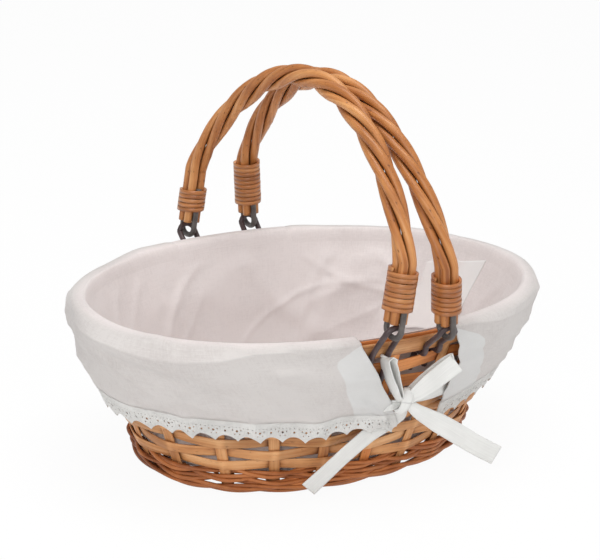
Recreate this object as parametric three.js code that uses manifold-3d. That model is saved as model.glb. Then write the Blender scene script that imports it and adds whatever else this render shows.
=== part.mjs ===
// Oval willow basket with two swinging handles, a cloth liner, lace and two ribbon bows.
// Millimetres, +Z up. X runs along the long axis, -Y is the front with the open bow,
// and the origin is on the table under the middle of the basket.
import * as THREE from 'three';
import Module from 'manifold-3d';

const wasm = await Module();
wasm.setup();

// Clearances
const clearance = 0.3;
const rodClearance = 0.45;
const eyeClearance = 0.4;

// Wall: the middle surface of the weave is an oval that flares in a straight line
const ovalPower = 2.15;
const baseHalfLength = 124.6;
const baseHalfWidth = 79.2;
const endFlare = 57.4;
const sideFlare = 35.8;
const wallHeight = 126;
const rimHalfLength = baseHalfLength + endFlare;
const rimHalfWidth = baseHalfWidth + sideFlare;

// Flat willow slats: each crosses the base and stands up as a stake at both ends
const stakeCount = 20;
const crossSlatsEachSide = 3;
const slatWidth = 8;
const slatThickness = 1.4;
const stakeTopDrop = 2;
const cornerBend = 3.6;
const cornerSag = 0.5;
const crossSlatBowShare = 0.22;
const longSlatBowShare = 0.5;

// Flat weavers and the two hoops of the border
const weaverWidth = 11;
const weaverThickness = 1.4;
const weaverGap = 0.45;
const lowerRowCount = 6;
const hoopWidth = 13;
const hoopThickness = 2;
const weaverFlat = 2;

// Round willow of the base
const wallRodDiameter = 3.4;
const wovenRodCount = 3;
const wallRodPitch = 3.75;
const wallRodGap = 0.35;
const lowestRodRise = 3.05;
const footRodDiameter = 3.2;
const baseRodDiameter = 3;
const baseRodInsets = [9, 17];

// Handles
const handleRodDiameter = 6.6;
const handleHeight = 149;
const handleStraightLeg = 50;
const archRoundness = 1.6;
const handleTurns = 2.5;
const twistGather = 0.3;
const hingeReach = 14.5;
const hingeHalfSpan = rimHalfWidth + hingeReach;
const hingePlaces = {
  left_front: { x: -17.5, z: wallHeight + 10 },
  left_back: { x: -32, z: wallHeight + 2 },
  right_front: { x: 28, z: wallHeight + 3.5 },
  right_back: { x: 23.5, z: wallHeight + 3 },
};

// Plastic tube loops of the hinges
const loopDiameter = 4.2;
const basketEyeRadius = 6.5;
const basketEyeTilt = 25;
const stirrupDrop = 1.9;
const stirrupLegLength = 36;
const loopTailLength = 18;

// Cane bindings round the handle feet
const caneWidth = 2.9;
const caneThickness = 1.2;
const canePitch = 3.4;
const rodEndBelowBinding = 7;
const leftFrontTurns = 8.5;
const leftBackTurns = 5;
const rightFrontTurns = 7.5;
const rightBackTurns = 10;
const bindingTurns = {
  left_front: leftFrontTurns,
  left_back: leftBackTurns,
  right_front: rightFrontTurns,
  right_back: rightBackTurns,
};

// Cloth liner
const clothThickness = 1.2;
const bagThickness = 1.5;
const bagInset = 7.5;
const bagTopDrop = 1.5;
const floorCorner = 6;
const rimInset = 9.3;
const rimRise = 2.4;
const hoopCover = 3.2;
const hoopRise = 1.2;
const creaseOffset = 8.6;
const creaseDrop = 2;
const skirtOffset = 9.2;
const tightCreaseOffset = 4.8;
const tightLength = 38;
const skirtDrop = 57;
const skirtHemHeight = wallHeight - skirtDrop;
const skirtFall = 14;
const foldDepth = 1.1;
const foldCount = 5;

// Lace sewn along the hem
const laceHeight = 19;
const laceThickness = 1;
const laceInset = 1;
const scallopPitch = 17;
const scallopDepth = 4;

// The skirt is open at the front and the back: the edge of each flap, at the rim and at the hem
const frontLeftFlap = { rim: -34, hem: 3 };
const frontRightFlap = { rim: 46, hem: 58 };
const backLeftFlap = { rim: -49, hem: -24 };
const backRightFlap = { rim: 40, hem: 20 };

// Ribbon bows
const ribbonWidth = 15;
const ribbonThickness = 0.8;
const flatLoopReach = 38;
const uprightLoopReach = 40;
const tailReach = 82;
const frontKnot = { x: 12, front: true };
const backKnot = { x: -12, front: false };
const knotDrop = 46;
const knotHeight = wallHeight - knotDrop;
const knotOffset = 15.5;
const tieInset = 7;
const knotHalfSize = { x: 5.5, y: 4, z: 7.5 };

// Blank cloth label inside the right-hand end
const labelWidth = 56;
const labelHeight = 58;
const labelDrop = 9;
const labelTop = wallHeight - labelDrop;
const labelThickness = 0.6;
const labelShare = 0.046;
const labelSlack = 1.2;

// Counts of faces
const handleSteps = 34;
const footRodSteps = 36;
const footRodSides = 6;
const baseRodSides = 4;
const rodSides = 5;
const loopSides = 6;
const turnSteps = 10;
const lacePointsPerScallop = 2;
const skirtColumns = 30;
const bagColumns = 40;

const UP = new THREE.Vector3(0, 0, 1);
const V = (x, y, z) => new THREE.Vector3(x, y, z);
const lerp = THREE.MathUtils.lerp;

// The oval and its sloping wall

function signedPower(value, power) {
  return Math.sign(value) * Math.abs(value) ** power;
}

function ovalUnit(angle) {
  const power = 2 / ovalPower;
  return [signedPower(Math.cos(angle), power), signedPower(Math.sin(angle), power)];
}

function halfLengthAt(z) {
  return lerp(baseHalfLength, rimHalfLength, z / wallHeight);
}

function halfWidthAt(z) {
  return lerp(baseHalfWidth, rimHalfWidth, z / wallHeight);
}

// Angles that divide the oval at mid height into equal lengths
const ovalTable = (() => {
  const samples = 2880;
  const angles = [0];
  const lengths = [0];
  const middle = wallHeight / 2;
  let last = null;
  for (let i = 0; i <= samples; i++) {
    const angle = (i / samples) * 2 * Math.PI;
    const [fx, fy] = ovalUnit(angle);
    const point = [fx * halfLengthAt(middle), fy * halfWidthAt(middle)];
    if (last) {
      angles.push(angle);
      lengths.push(lengths[lengths.length - 1] + Math.hypot(point[0] - last[0], point[1] - last[1]));
    }
    last = point;
  }
  return { angles, lengths, total: lengths[lengths.length - 1] };
})();

// share runs from 0 at the right-hand end, anticlockwise, to 1
function ovalAngle(share) {
  const { angles, lengths, total } = ovalTable;
  const wanted = (share - Math.floor(share)) * total;
  let low = 0;
  let high = lengths.length - 1;
  while (high - low > 1) {
    const middle = (low + high) >> 1;
    if (lengths[middle] <= wanted) low = middle;
    else high = middle;
  }
  const part = (wanted - lengths[low]) / (lengths[high] - lengths[low]);
  return lerp(angles[low], angles[high], part);
}

// The share whose point on the wall has this x, on the front or the back
function shareOfX(x, z, front) {
  let low = 0;
  let high = 0.5;
  for (let i = 0; i < 40; i++) {
    const middle = (low + high) / 2;
    const pointX = ovalUnit(ovalAngle(middle))[0] * halfLengthAt(z);
    if (pointX > x) low = middle;
    else high = middle;
  }
  return front ? 1 - low : low;
}

function perimeterAt(z) {
  const steps = 240;
  let length = 0;
  let last = wallPoint(0, z, 0);
  for (let i = 1; i <= steps; i++) {
    const point = wallPoint(i / steps, z, 0);
    length += point.distanceTo(last);
    last = point;
  }
  return length;
}

function wallNormal(share, z) {
  const [fx, fy] = ovalUnit(ovalAngle(share));
  const a = halfLengthAt(z);
  const b = halfWidthAt(z);
  const slopeA = (rimHalfLength - baseHalfLength) / wallHeight;
  const slopeB = (rimHalfWidth - baseHalfWidth) / wallHeight;
  const down = Math.abs(fx) ** ovalPower * (slopeA / a) + Math.abs(fy) ** ovalPower * (slopeB / b);
  return V(signedPower(fx, ovalPower - 1) / a, signedPower(fy, ovalPower - 1) / b, -down).normalize();
}

// A point of the wall at a height, moved out from its middle surface by offset
function wallPoint(share, z, offset) {
  const [fx, fy] = ovalUnit(ovalAngle(share));
  const point = V(fx * halfLengthAt(z), fy * halfWidthAt(z), z);
  return point.addScaledVector(wallNormal(share, z), offset);
}

// The same, but kept at its height
function levelPoint(share, z, offset) {
  const point = wallPoint(share, z, offset);
  return V(point.x, point.y, z);
}

// Solids made of rings of points

function closedSolid(positions, indices) {
  const geometry = new THREE.BufferGeometry();
  let volume = 0;
  const [a, b, c] = [V(), V(), V()];
  for (let i = 0; i < indices.length; i += 3) {
    a.copy(positions[indices[i]]);
    b.copy(positions[indices[i + 1]]);
    c.copy(positions[indices[i + 2]]);
    volume += a.dot(b.cross(c));
  }
  const ordered = volume < 0 ? indices.slice().reverse() : indices;
  geometry.setAttribute('position', new THREE.Float32BufferAttribute(positions.flatMap((p) => p.toArray()), 3));
  geometry.setIndex(ordered);
  return geometry;
}

// One solid out of several that overlap
function unite(list) {
  const solids = list.map((geometry) => {
    const vertProperties = new Float32Array(geometry.getAttribute('position').array);
    const triVerts = new Uint32Array(geometry.getIndex().array);
    return new wasm.Manifold(new wasm.Mesh({ numProp: 3, vertProperties, triVerts }));
  });
  const mesh = solids.reduce((sum, solid) => sum.add(solid)).getMesh();
  const geometry = new THREE.BufferGeometry();
  geometry.setAttribute('position', new THREE.Float32BufferAttribute(mesh.vertProperties, 3));
  geometry.setIndex(Array.from(mesh.triVerts));
  return geometry;
}

function skin(rings, closed) {
  const count = rings[0].length;
  const positions = rings.flat();
  const indices = [];
  const spans = closed ? rings.length : rings.length - 1;
  for (let i = 0; i < spans; i++) {
    const here = i * count;
    const next = ((i + 1) % rings.length) * count;
    for (let j = 0; j < count; j++) {
      const k = (j + 1) % count;
      indices.push(here + j, next + j, next + k, here + j, next + k, here + k);
    }
  }
  if (!closed) {
    const last = (rings.length - 1) * count;
    for (let j = 1; j < count - 1; j++) {
      indices.push(0, j, j + 1);
      indices.push(last, last + j + 1, last + j);
    }
  }
  return closedSolid(positions, indices);
}

// A section swept along stations of { point, side }, mitred where the path bends
function sweep(stations, section, closed) {
  const count = stations.length;
  const rings = stations.map(({ point, side }, i) => {
    const before = closed ? stations[(i + count - 1) % count] : stations[Math.max(i - 1, 0)];
    const after = closed ? stations[(i + 1) % count] : stations[Math.min(i + 1, count - 1)];
    const arriving = point.clone().sub(before.point).normalize();
    const leaving = after.point.clone().sub(point).normalize();
    if (arriving.lengthSq() === 0) arriving.copy(leaving);
    if (leaving.lengthSq() === 0) leaving.copy(arriving);
    const along = arriving.clone().add(leaving).normalize();
    const bend = leaving.clone().sub(arriving);
    const stretch = bend.length() > 1e-6 ? 1 / along.dot(arriving) - 1 : 0;
    if (stretch > 0) bend.normalize();
    const across = side.clone().addScaledVector(along, -side.dot(along)).normalize();
    const out = across.clone().cross(along);
    return section.map(([x, y]) => {
      const arm = across.clone().multiplyScalar(x).addScaledVector(out, y);
      if (stretch > 0) arm.addScaledVector(bend, arm.dot(bend) * stretch);
      return arm.add(point);
    });
  });
  return skin(rings, closed);
}

function flatSection(width, thickness) {
  const [w, t] = [width / 2, thickness / 2];
  return [[-w, -t], [w, -t], [w, t], [-w, t]];
}

// A flat of the many-sided rod faces straight down, or inwards
function roundSection(diameter, sides) {
  const radius = diameter / 2;
  const points = [];
  for (let i = 0; i < sides; i++) {
    const angle = ((i + 0.5) / sides) * 2 * Math.PI - Math.PI / 2;
    points.push([radius * Math.cos(angle), radius * Math.sin(angle)]);
  }
  return points;
}

// Rows that go in and out between the stakes

const stakeHalfFlat = slatWidth / 2 + weaverFlat / 2;

function stakeShare(k) {
  return k / stakeCount;
}

function ringStations(z, offsetAtStake) {
  const stations = [];
  const reach = stakeHalfFlat / perimeterAt(z);
  for (let k = 0; k < stakeCount; k++) {
    for (const side of [-1, 1]) {
      const share = stakeShare(k) + side * reach;
      stations.push({ point: wallPoint(share, z, offsetAtStake(k)), side: wallSide(share, z) });
    }
  }
  return stations;
}

// The direction up the wall, square to its normal
function wallSide(share, z) {
  const normal = wallNormal(share, z);
  return UP.clone().addScaledVector(normal, -UP.dot(normal)).normalize();
}

function weaverRow(z, width, firstOut) {
  const reach = slatThickness / 2 + clearance + weaverThickness / 2;
  const offset = (k) => ((k + firstOut) % 2 === 0 ? reach : -reach);
  return sweep(ringStations(z, offset), flatSection(width, weaverThickness), true);
}

// The lowest rod lies outside all the stakes, and the ones above it go in and out
function wallRod(z, isOut) {
  const reach = slatThickness / 2 + clearance + wallRodDiameter / 2;
  const offset = (k) => (isOut(k) ? reach : -reach);
  return sweep(ringStations(z, offset), roundSection(wallRodDiameter, rodSides), true);
}

function borderHoop(direction) {
  const z = wallHeight - hoopWidth / 2;
  const reach = direction * (slatThickness / 2 + clearance + hoopThickness / 2);
  return sweep(ringStations(z, () => reach), flatSection(hoopWidth, hoopThickness), true);
}

// Heights of the flat rows, counted from the top: two slots leave room for the hinge loops
const loopSlot = loopDiameter + 2 * eyeClearance;
const upperSlotHeight = wallHeight - hoopWidth - loopSlot / 2;
const topRowHeight = upperSlotHeight - loopSlot / 2 - weaverWidth / 2;
const lowerSlotHeight = topRowHeight - weaverWidth / 2 - loopSlot / 2;
const secondRowHeight = lowerSlotHeight - loopSlot / 2 - weaverWidth / 2;
const rows = [topRowHeight, secondRowHeight].map((height) => ({ height, width: weaverWidth }));

// The rods stand on the base, and the lower rows share the height that is left
const crossSlatLevel = footRodDiameter + clearance + cornerSag + slatThickness / 2;
const longSlatLevel = crossSlatLevel + slatThickness + clearance;
const topRodHeight = crossSlatLevel + lowestRodRise + wovenRodCount * wallRodPitch;
const lowerRowsTop = secondRowHeight - weaverWidth / 2 - loopSlot / 2;
const lowerRowsBottom = topRodHeight + wallRodDiameter / 2 + wallRodGap;
const lowerRowPitch = (lowerRowsTop - lowerRowsBottom + weaverGap) / lowerRowCount;
for (let i = 0; i < lowerRowCount; i++) {
  const width = lowerRowPitch - weaverGap;
  rows.push({ height: lowerRowsTop - width / 2 - i * lowerRowPitch, width });
}

// Base: slats cross each other, and round rods weave through them near the edge

// Half of a slat in plan, from the middle of the base to its edge
function slatPlan(share, long) {
  const level = long ? longSlatLevel : crossSlatLevel;
  const edge = wallPoint(share, level, 0);
  const bow = long ? longSlatBowShare : crossSlatBowShare;
  return (part) => {
    const shrink = 1 - bow * (1 - part * part);
    return long ? V(edge.x * part, edge.y * shrink, level) : V(edge.x * shrink, edge.y * part, level);
  };
}

function halfSlat(share, long) {
  const level = long ? longSlatLevel : crossSlatLevel;
  const plan = slatPlan(share, long);
  const edge = plan(1);
  const inset = cornerBend / Math.hypot(edge.x, edge.y);
  const wallStart = wallPoint(share, level + cornerBend, 0);
  const baseStart = plan(1 - inset);
  const baseSide = long ? V(0, 1, 0) : V(1, 0, 0);
  const tangent = wallPoint(share + 1e-4, level, 0).sub(wallPoint(share - 1e-4, level, 0)).normalize();
  if (tangent.dot(baseSide) < 0) tangent.negate();
  const stations = [];
  for (const part of [1 / 3, 2 / 3]) stations.push({ point: plan(part * (1 - inset)), side: baseSide });
  for (const part of [0, 0.3, 0.5, 0.7, 1]) {
    const curve = new THREE.QuadraticBezierCurve3(baseStart, edge, wallStart);
    stations.push({ point: curve.getPoint(part), side: baseSide.clone().lerp(tangent, part) });
  }
  stations.push({ point: wallPoint(share, wallHeight - stakeTopDrop, 0), side: tangent });
  return stations;
}

function slat(share, mirroredShare, long) {
  const one = halfSlat(share, long);
  const other = halfSlat(mirroredShare, long);
  const middle = { point: slatPlan(share, long)(0), side: long ? V(0, 1, 0) : V(1, 0, 0) };
  return sweep([...one.reverse(), middle, ...other], flatSection(slatWidth, slatThickness), false);
}

function isInsideOval(point, a, b) {
  return Math.abs(point.x / a) ** ovalPower + Math.abs(point.y / b) ** ovalPower < 1;
}

// Where a half slat passes under or over an oval rod
function crossingOf(plan, a, b) {
  let low = 0;
  let high = 1;
  for (let i = 0; i < 40; i++) {
    const middle = (low + high) / 2;
    if (isInsideOval(plan(middle), a, b)) low = middle;
    else high = middle;
  }
  return plan(low);
}

function baseRod(inset, firstOver) {
  const a = baseHalfLength - inset;
  const b = baseHalfWidth - inset;
  const stations = [];
  for (let k = 0; k < stakeCount; k++) {
    const long = isLongStake(k);
    const crossing = crossingOf(slatPlan(stakeShare(k), long), a, b);
    const angle = Math.atan2(signedPower(crossing.y / b, ovalPower / 2), signedPower(crossing.x / a, ovalPower / 2));
    const level = long ? longSlatLevel : crossSlatLevel;
    const reach = slatThickness / 2 + clearance + baseRodDiameter / 2;
    const height = (k + firstOver) % 2 === 0 ? level + reach : level - reach;
    const ovalAt = (turn) => {
      const [fx, fy] = ovalUnit(turn);
      return V(fx * a, fy * b, height);
    };
    for (const side of [-1, 1]) {
      const speed = ovalAt(angle + 0.01).distanceTo(ovalAt(angle - 0.01)) / 0.02;
      const turn = angle + (side * (stakeHalfFlat + 0.5)) / speed;
      stations.push({ point: ovalAt(turn), side: V(0, 0, 1) });
    }
  }
  return sweep(stations, roundSection(baseRodDiameter, baseRodSides), true);
}

// The rod that the basket stands on: one of its flats is down on the table
function footRod() {
  const height = (footRodDiameter / 2) * Math.cos(Math.PI / footRodSides);
  const stations = [];
  for (let i = 0; i < footRodSteps; i++) {
    const [fx, fy] = ovalUnit(ovalAngle((i + 0.5) / footRodSteps));
    stations.push({ point: V(fx * baseHalfLength, fy * baseHalfWidth, height), side: V(fx, fy, 0) });
  }
  return sweep(stations, roundSection(footRodDiameter, footRodSides), true);
}

function isLongStake(k) {
  const quarter = stakeCount / 4;
  const fromEnd = Math.abs(((k + quarter) % (2 * quarter)) - quarter);
  return quarter - fromEnd > crossSlatsEachSide;
}

// Handles: four rods twisted round an arch, in the plane through their two hinges

const rodCircle = (handleRodDiameter + rodClearance) / Math.SQRT2;
const bundleRadius = rodCircle + handleRodDiameter / 2;
const rodEndHeight = basketEyeRadius + loopDiameter / 2 + clearance;

// The middle line of a handle, in its own plane: y across, z up
function archPoints(halfSpan, count) {
  const fine = [];
  const samples = 600;
  fine.push(V(0, halfSpan, rodEndHeight));
  for (let i = 0; i <= samples; i++) {
    const angle = (i / samples) * Math.PI;
    const rise = Math.sin(angle) ** archRoundness * (handleHeight - handleStraightLeg);
    fine.push(V(0, halfSpan * Math.cos(angle), handleStraightLeg + rise));
  }
  fine.push(V(0, -halfSpan, rodEndHeight));
  const curve = new THREE.CurvePath();
  for (let i = 1; i < fine.length; i++) curve.add(new THREE.LineCurve3(fine[i - 1], fine[i]));
  const legShare = (handleStraightLeg - rodEndHeight) / curve.getLength();
  const points = [fine[0]];
  for (let i = 0; i <= count; i++) points.push(curve.getPoint(lerp(legShare, 1 - legShare, i / count)));
  points.push(fine[fine.length - 1]);
  return points;
}

function handleRod(halfSpan, index) {
  const middle = archPoints(halfSpan, handleSteps);
  const stations = middle.map((point, i) => {
    const before = middle[Math.max(i - 1, 0)];
    const after = middle[Math.min(i + 1, middle.length - 1)];
    const along = after.clone().sub(before).normalize();
    const flat = V(1, 0, 0);
    const outwards = flat.clone().cross(along);
    const part = THREE.MathUtils.clamp((i - 1) / handleSteps, 0, 1);
    const eased = part - (twistGather * Math.sin(2 * Math.PI * part)) / (2 * Math.PI);
    const angle = ((index + 0.5) / 4) * 2 * Math.PI + eased * handleTurns * 2 * Math.PI;
    const arm = outwards.clone().multiplyScalar(Math.cos(angle)).addScaledVector(flat, -Math.sin(angle));
    return { point: point.clone().addScaledVector(arm, rodCircle), side: arm };
  });
  return sweep(stations, roundSection(handleRodDiameter, rodSides), false);
}

const rodCorner = rodCircle / Math.SQRT2;
const grooveReach = Math.sqrt((handleRodDiameter / 2 + loopDiameter / 2 + clearance) ** 2 - rodCorner ** 2);
const stirrupHalfWidth = rodCorner + grooveReach;

// A stirrup of the handle: its two legs lie in the grooves between the rods
function stirrup() {
  const points = [];
  const bottom = stirrupHalfWidth * 0.75 - stirrupDrop;
  points.push(V(0, stirrupHalfWidth, stirrupLegLength));
  points.push(V(0, stirrupHalfWidth, rodEndHeight + 1));
  const steps = 8;
  for (let i = 0; i <= steps; i++) {
    const angle = (i / steps) * Math.PI;
    points.push(V(0, stirrupHalfWidth * Math.cos(angle), bottom - Math.sin(angle) * stirrupHalfWidth * 0.75));
  }
  points.push(V(0, -stirrupHalfWidth, rodEndHeight + 1));
  points.push(V(0, -stirrupHalfWidth, stirrupLegLength));
  const stations = points.map((point) => ({ point, side: V(1, 0, 0) }));
  return sweep(stations, roundSection(loopDiameter, loopSides), false);
}

const bindingStart = rodEndHeight + rodEndBelowBinding;

// One unbroken cane, wound round the rods and the legs of the stirrup
function binding(name) {
  const widen = 1 / Math.cos(Math.PI / turnSteps);
  const reachY = (stirrupHalfWidth + loopDiameter / 2 + clearance) * widen + caneThickness / 2;
  const reachX = (bundleRadius + clearance) * widen + caneThickness / 2;
  const steps = Math.round(bindingTurns[name] * turnSteps);
  const stations = [];
  for (let i = 0; i <= steps; i++) {
    const angle = (i / turnSteps) * 2 * Math.PI;
    const height = bindingStart + caneWidth / 2 + (i / turnSteps) * canePitch;
    const point = V(reachX * Math.cos(angle), reachY * Math.sin(angle), height);
    stations.push({ point, side: UP });
  }
  printLeastGap(name, stations);
  return sweep(stations, flatSection(caneWidth, caneThickness), false);
}

function printLeastGap(name, stations) {
  let least = Infinity;
  for (let i = 0; i < stations.length; i++) {
    for (let j = i + Math.floor(turnSteps / 2); j < stations.length; j++) {
      least = Math.min(least, stations[i].point.distanceTo(stations[j].point));
    }
  }
  console.log(`binding_${name}: least gap to itself ${(least - caneWidth).toFixed(2)} mm`);
}

// A loop of the basket: an eye above the rim, and two legs that hook through the weave
function basketLoop(name, slotHeight) {
  const { x, z } = hingePlaces[name];
  const front = name.endsWith('front');
  const outwards = front ? -1 : 1;
  const eye = V(x, outwards * hingeHalfSpan, z);
  const outside = slatThickness / 2 + clearance + hoopThickness + clearance + loopDiameter / 2;
  const inside = -(slatThickness / 2 + clearance + weaverThickness + clearance + loopDiameter / 2);
  const seat = wallHeight - hoopWidth / 2;
  const legPoints = (side) => {
    const legX = x + side * basketEyeRadius;
    const at = (height, offset) => {
      const point = wallPoint(shareOfX(legX, height, front), height, offset);
      return V(legX, point.y, point.z);
    };
    return [
      at(slotHeight - loopTailLength, inside),
      at(slotHeight, inside),
      at(slotHeight, outside),
      at(seat, outside),
    ];
  };
  const rise = UP.clone().applyAxisAngle(V(-outwards, 0, 0), THREE.MathUtils.degToRad(basketEyeTilt));
  const arc = [];
  const steps = 8;
  for (let i = 0; i <= steps; i++) {
    const angle = Math.PI - (i / steps) * Math.PI;
    const point = eye.clone().addScaledVector(V(1, 0, 0), basketEyeRadius * Math.cos(angle));
    arc.push(point.addScaledVector(rise, basketEyeRadius * Math.sin(angle)));
  }
  const points = [...legPoints(-1), ...arc, ...legPoints(1).reverse()];
  return sweep(tubeStations(points), roundSection(loopDiameter, loopSides), false);
}

// Frames carried along a bent tube without twist
function tubeStations(points) {
  let side = V(0, 1, 0);
  return points.map((point, i) => {
    const before = points[Math.max(i - 1, 0)];
    const after = points[Math.min(i + 1, points.length - 1)];
    const along = after.clone().sub(point).normalize().add(point.clone().sub(before).normalize()).normalize();
    side = side.clone().addScaledVector(along, -side.dot(along)).normalize();
    return { point, side };
  });
}

// Frame of a handle: its y axis runs through its two hinges, and it leans by an angle about it
function handleFrame(name, lean) {
  const front = V(hingePlaces[`${name}_front`].x, -hingeHalfSpan, hingePlaces[`${name}_front`].z);
  const back = V(hingePlaces[`${name}_back`].x, hingeHalfSpan, hingePlaces[`${name}_back`].z);
  const axis = back.clone().sub(front).normalize();
  const upright = UP.clone().addScaledVector(axis, -UP.dot(axis)).normalize();
  upright.applyAxisAngle(axis, lean);
  const across = axis.clone().cross(upright);
  const matrix = new THREE.Matrix4().makeBasis(across, axis, upright);
  matrix.setPosition(front.clone().add(back).multiplyScalar(0.5));
  return { matrix, halfSpan: front.distanceTo(back) / 2 };
}

function leastDistance(lean) {
  const lines = [['left', 1], ['right', -1]].map(([name, direction]) => {
    const { matrix, halfSpan } = handleFrame(name, direction * lean);
    return archPoints(halfSpan, 120).map((point) => point.clone().applyMatrix4(matrix));
  });
  let least = Infinity;
  for (const one of lines[0]) {
    for (const other of lines[1]) least = Math.min(least, one.distanceTo(other));
  }
  return least;
}

// Both handles lean in by the angle at which their tops rest against each other
function restingLean() {
  let low = 0;
  let high = THREE.MathUtils.degToRad(25);
  for (let i = 0; i < 24; i++) {
    const middle = (low + high) / 2;
    if (leastDistance(middle) > 2 * bundleRadius + clearance) low = middle;
    else high = middle;
  }
  return low;
}

// Cloth

// A curved sheet with thickness, from a grid of points
function sheetSolid(grid, thickness) {
  const rows = grid.length;
  const columns = grid[0].length;
  const normalAt = (i, j) => {
    const across = grid[Math.min(i + 1, rows - 1)][j].clone().sub(grid[Math.max(i - 1, 0)][j]);
    const along = grid[i][Math.min(j + 1, columns - 1)].clone().sub(grid[i][Math.max(j - 1, 0)]);
    return across.cross(along).normalize();
  };
  const positions = [];
  for (const side of [-1, 1]) {
    for (let i = 0; i < rows; i++) {
      for (let j = 0; j < columns; j++) {
        positions.push(grid[i][j].clone().addScaledVector(normalAt(i, j), (side * thickness) / 2));
      }
    }
  }
  const at = (side, i, j) => side * rows * columns + i * columns + j;
  const indices = [];
  const quad = (a, b, c, d) => indices.push(a, b, c, a, c, d);
  for (let i = 0; i < rows - 1; i++) {
    for (let j = 0; j < columns - 1; j++) {
      quad(at(0, i, j), at(0, i, j + 1), at(0, i + 1, j + 1), at(0, i + 1, j));
      quad(at(1, i, j), at(1, i + 1, j), at(1, i + 1, j + 1), at(1, i, j + 1));
    }
  }
  for (let j = 0; j < columns - 1; j++) {
    quad(at(0, 0, j), at(1, 0, j), at(1, 0, j + 1), at(0, 0, j + 1));
    quad(at(0, rows - 1, j + 1), at(1, rows - 1, j + 1), at(1, rows - 1, j), at(0, rows - 1, j));
  }
  for (let i = 0; i < rows - 1; i++) {
    quad(at(0, i + 1, 0), at(1, i + 1, 0), at(1, i, 0), at(0, i, 0));
    quad(at(0, i, columns - 1), at(1, i, columns - 1), at(1, i + 1, columns - 1), at(0, i + 1, columns - 1));
  }
  return closedSolid(positions, indices);
}

const floorHeight = longSlatLevel + slatThickness / 2 + baseRodDiameter + 2 * clearance + bagThickness / 2;
const bagTop = wallHeight - bagTopDrop;

// The bag that lines the inside, as one closed shell open at the top
function linerBag() {
  const outer = bagInset;
  const inner = bagInset + bagThickness;
  const bottom = floorHeight - bagThickness / 2;
  const top = floorHeight + bagThickness / 2;
  const profile = [
    [outer + floorCorner, bottom],
    [outer, bottom + floorCorner],
    [outer, bagTop],
    [inner, bagTop],
    [inner, top + floorCorner],
    [inner + floorCorner, top],
  ];
  const positions = [V(0, 0, bottom), V(0, 0, top)];
  for (const [inset, z] of profile) {
    for (let j = 0; j < bagColumns; j++) {
      positions.push(levelPoint(j / bagColumns, z, -inset));
    }
  }
  const at = (row, j) => 2 + row * bagColumns + (j % bagColumns);
  const indices = [];
  for (let j = 0; j < bagColumns; j++) {
    indices.push(0, at(0, j + 1), at(0, j));
    for (let row = 0; row < profile.length - 1; row++) {
      indices.push(at(row, j), at(row, j + 1), at(row + 1, j + 1), at(row, j), at(row + 1, j + 1), at(row + 1, j));
    }
    indices.push(1, at(profile.length - 1, j), at(profile.length - 1, j + 1));
  }
  return closedSolid(positions, indices);
}

// The skirt's section from its inner edge over the rim to the hem, as inset or offset and height.
// Loose is its shape along the sides, and tight its shape beside the handles.
const looseProfile = [
  [-bagInset - bagThickness / 2, bagTop + clearance],
  [-rimInset, wallHeight + rimRise],
  [hoopCover, wallHeight + hoopRise],
  [creaseOffset, wallHeight - creaseDrop],
  [skirtOffset, wallHeight - skirtFall],
  [skirtOffset, (wallHeight + skirtHemHeight) / 2],
  [skirtOffset - 1, skirtHemHeight],
];
const tightProfile = looseProfile.map(([offset, z], i) => (i === 3 ? [tightCreaseOffset, z] : [offset, z]));

function flapShares(left, part) {
  const z = lerp(wallHeight, skirtHemHeight, part);
  const [frontFlap, backFlap] = left ? [frontLeftFlap, backLeftFlap] : [frontRightFlap, backRightFlap];
  const front = shareOfX(lerp(frontFlap.rim, frontFlap.hem, part), z, true);
  const back = shareOfX(lerp(backFlap.rim, backFlap.hem, part), z, false);
  return left ? [back, front] : [front - 1, back];
}

function skirtPoint(left, column, part, offset, z) {
  const [start, end] = flapShares(left, part);
  const share = lerp(start, end, column);
  const fold = Math.sin(column * foldCount * 2 * Math.PI) * foldDepth * Math.sin(Math.PI * Math.min(column, 1 - column));
  return levelPoint(share, z, offset + fold * part * 2);
}

function skirt(left) {
  const rows = looseProfile.map((loose, i) => {
    const tight = tightProfile[i];
    const part = THREE.MathUtils.clamp((wallHeight - loose[1]) / (wallHeight - skirtHemHeight), 0, 1);
    const length = perimeterAt(loose[1]) / 2;
    const row = [];
    for (let j = 0; j <= skirtColumns; j++) {
      const column = j / skirtColumns;
      const fromEnd = Math.min(column, 1 - column) * length;
      const blend = THREE.MathUtils.smoothstep(fromEnd, tightLength / 2, tightLength * 2);
      const offset = lerp(tight[0], loose[0], blend);
      row.push(skirtPoint(left, column, part, offset, lerp(tight[1], loose[1], blend)));
    }
    return row;
  });
  return sheetSolid(rows, clothThickness);
}

function lace(left) {
  const top = skirtHemHeight - clearance;
  const length = perimeterAt(skirtHemHeight) / 2;
  const scallops = Math.round(length / scallopPitch);
  const columns = scallops * lacePointsPerScallop;
  const rows = [[], []];
  for (let j = 0; j <= columns; j++) {
    const column = j / columns;
    const drop = j % lacePointsPerScallop === 0 ? laceHeight - scallopDepth : laceHeight;
    const part = 1 + drop / (wallHeight - skirtHemHeight);
    rows[0].push(skirtPoint(left, column, 1, skirtOffset - 1, top));
    rows[1].push(skirtPoint(left, column, part, skirtOffset - 1 - laceInset, top - drop));
  }
  return sheetSolid(rows, laceThickness);
}

function label() {
  const rows = [];
  for (let i = 0; i <= 2; i++) {
    const z = labelTop - (i / 2) * labelHeight;
    const reach = labelWidth / 2 / perimeterAt(z);
    const row = [];
    for (let j = 0; j <= 4; j++) {
      const share = labelShare + lerp(-reach, reach, j / 4);
      row.push(levelPoint(share, z, -bagInset - bagThickness - labelSlack - labelThickness / 2));
    }
    rows.push(row);
  }
  return sheetSolid(rows, labelThickness);
}

// Bows

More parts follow.
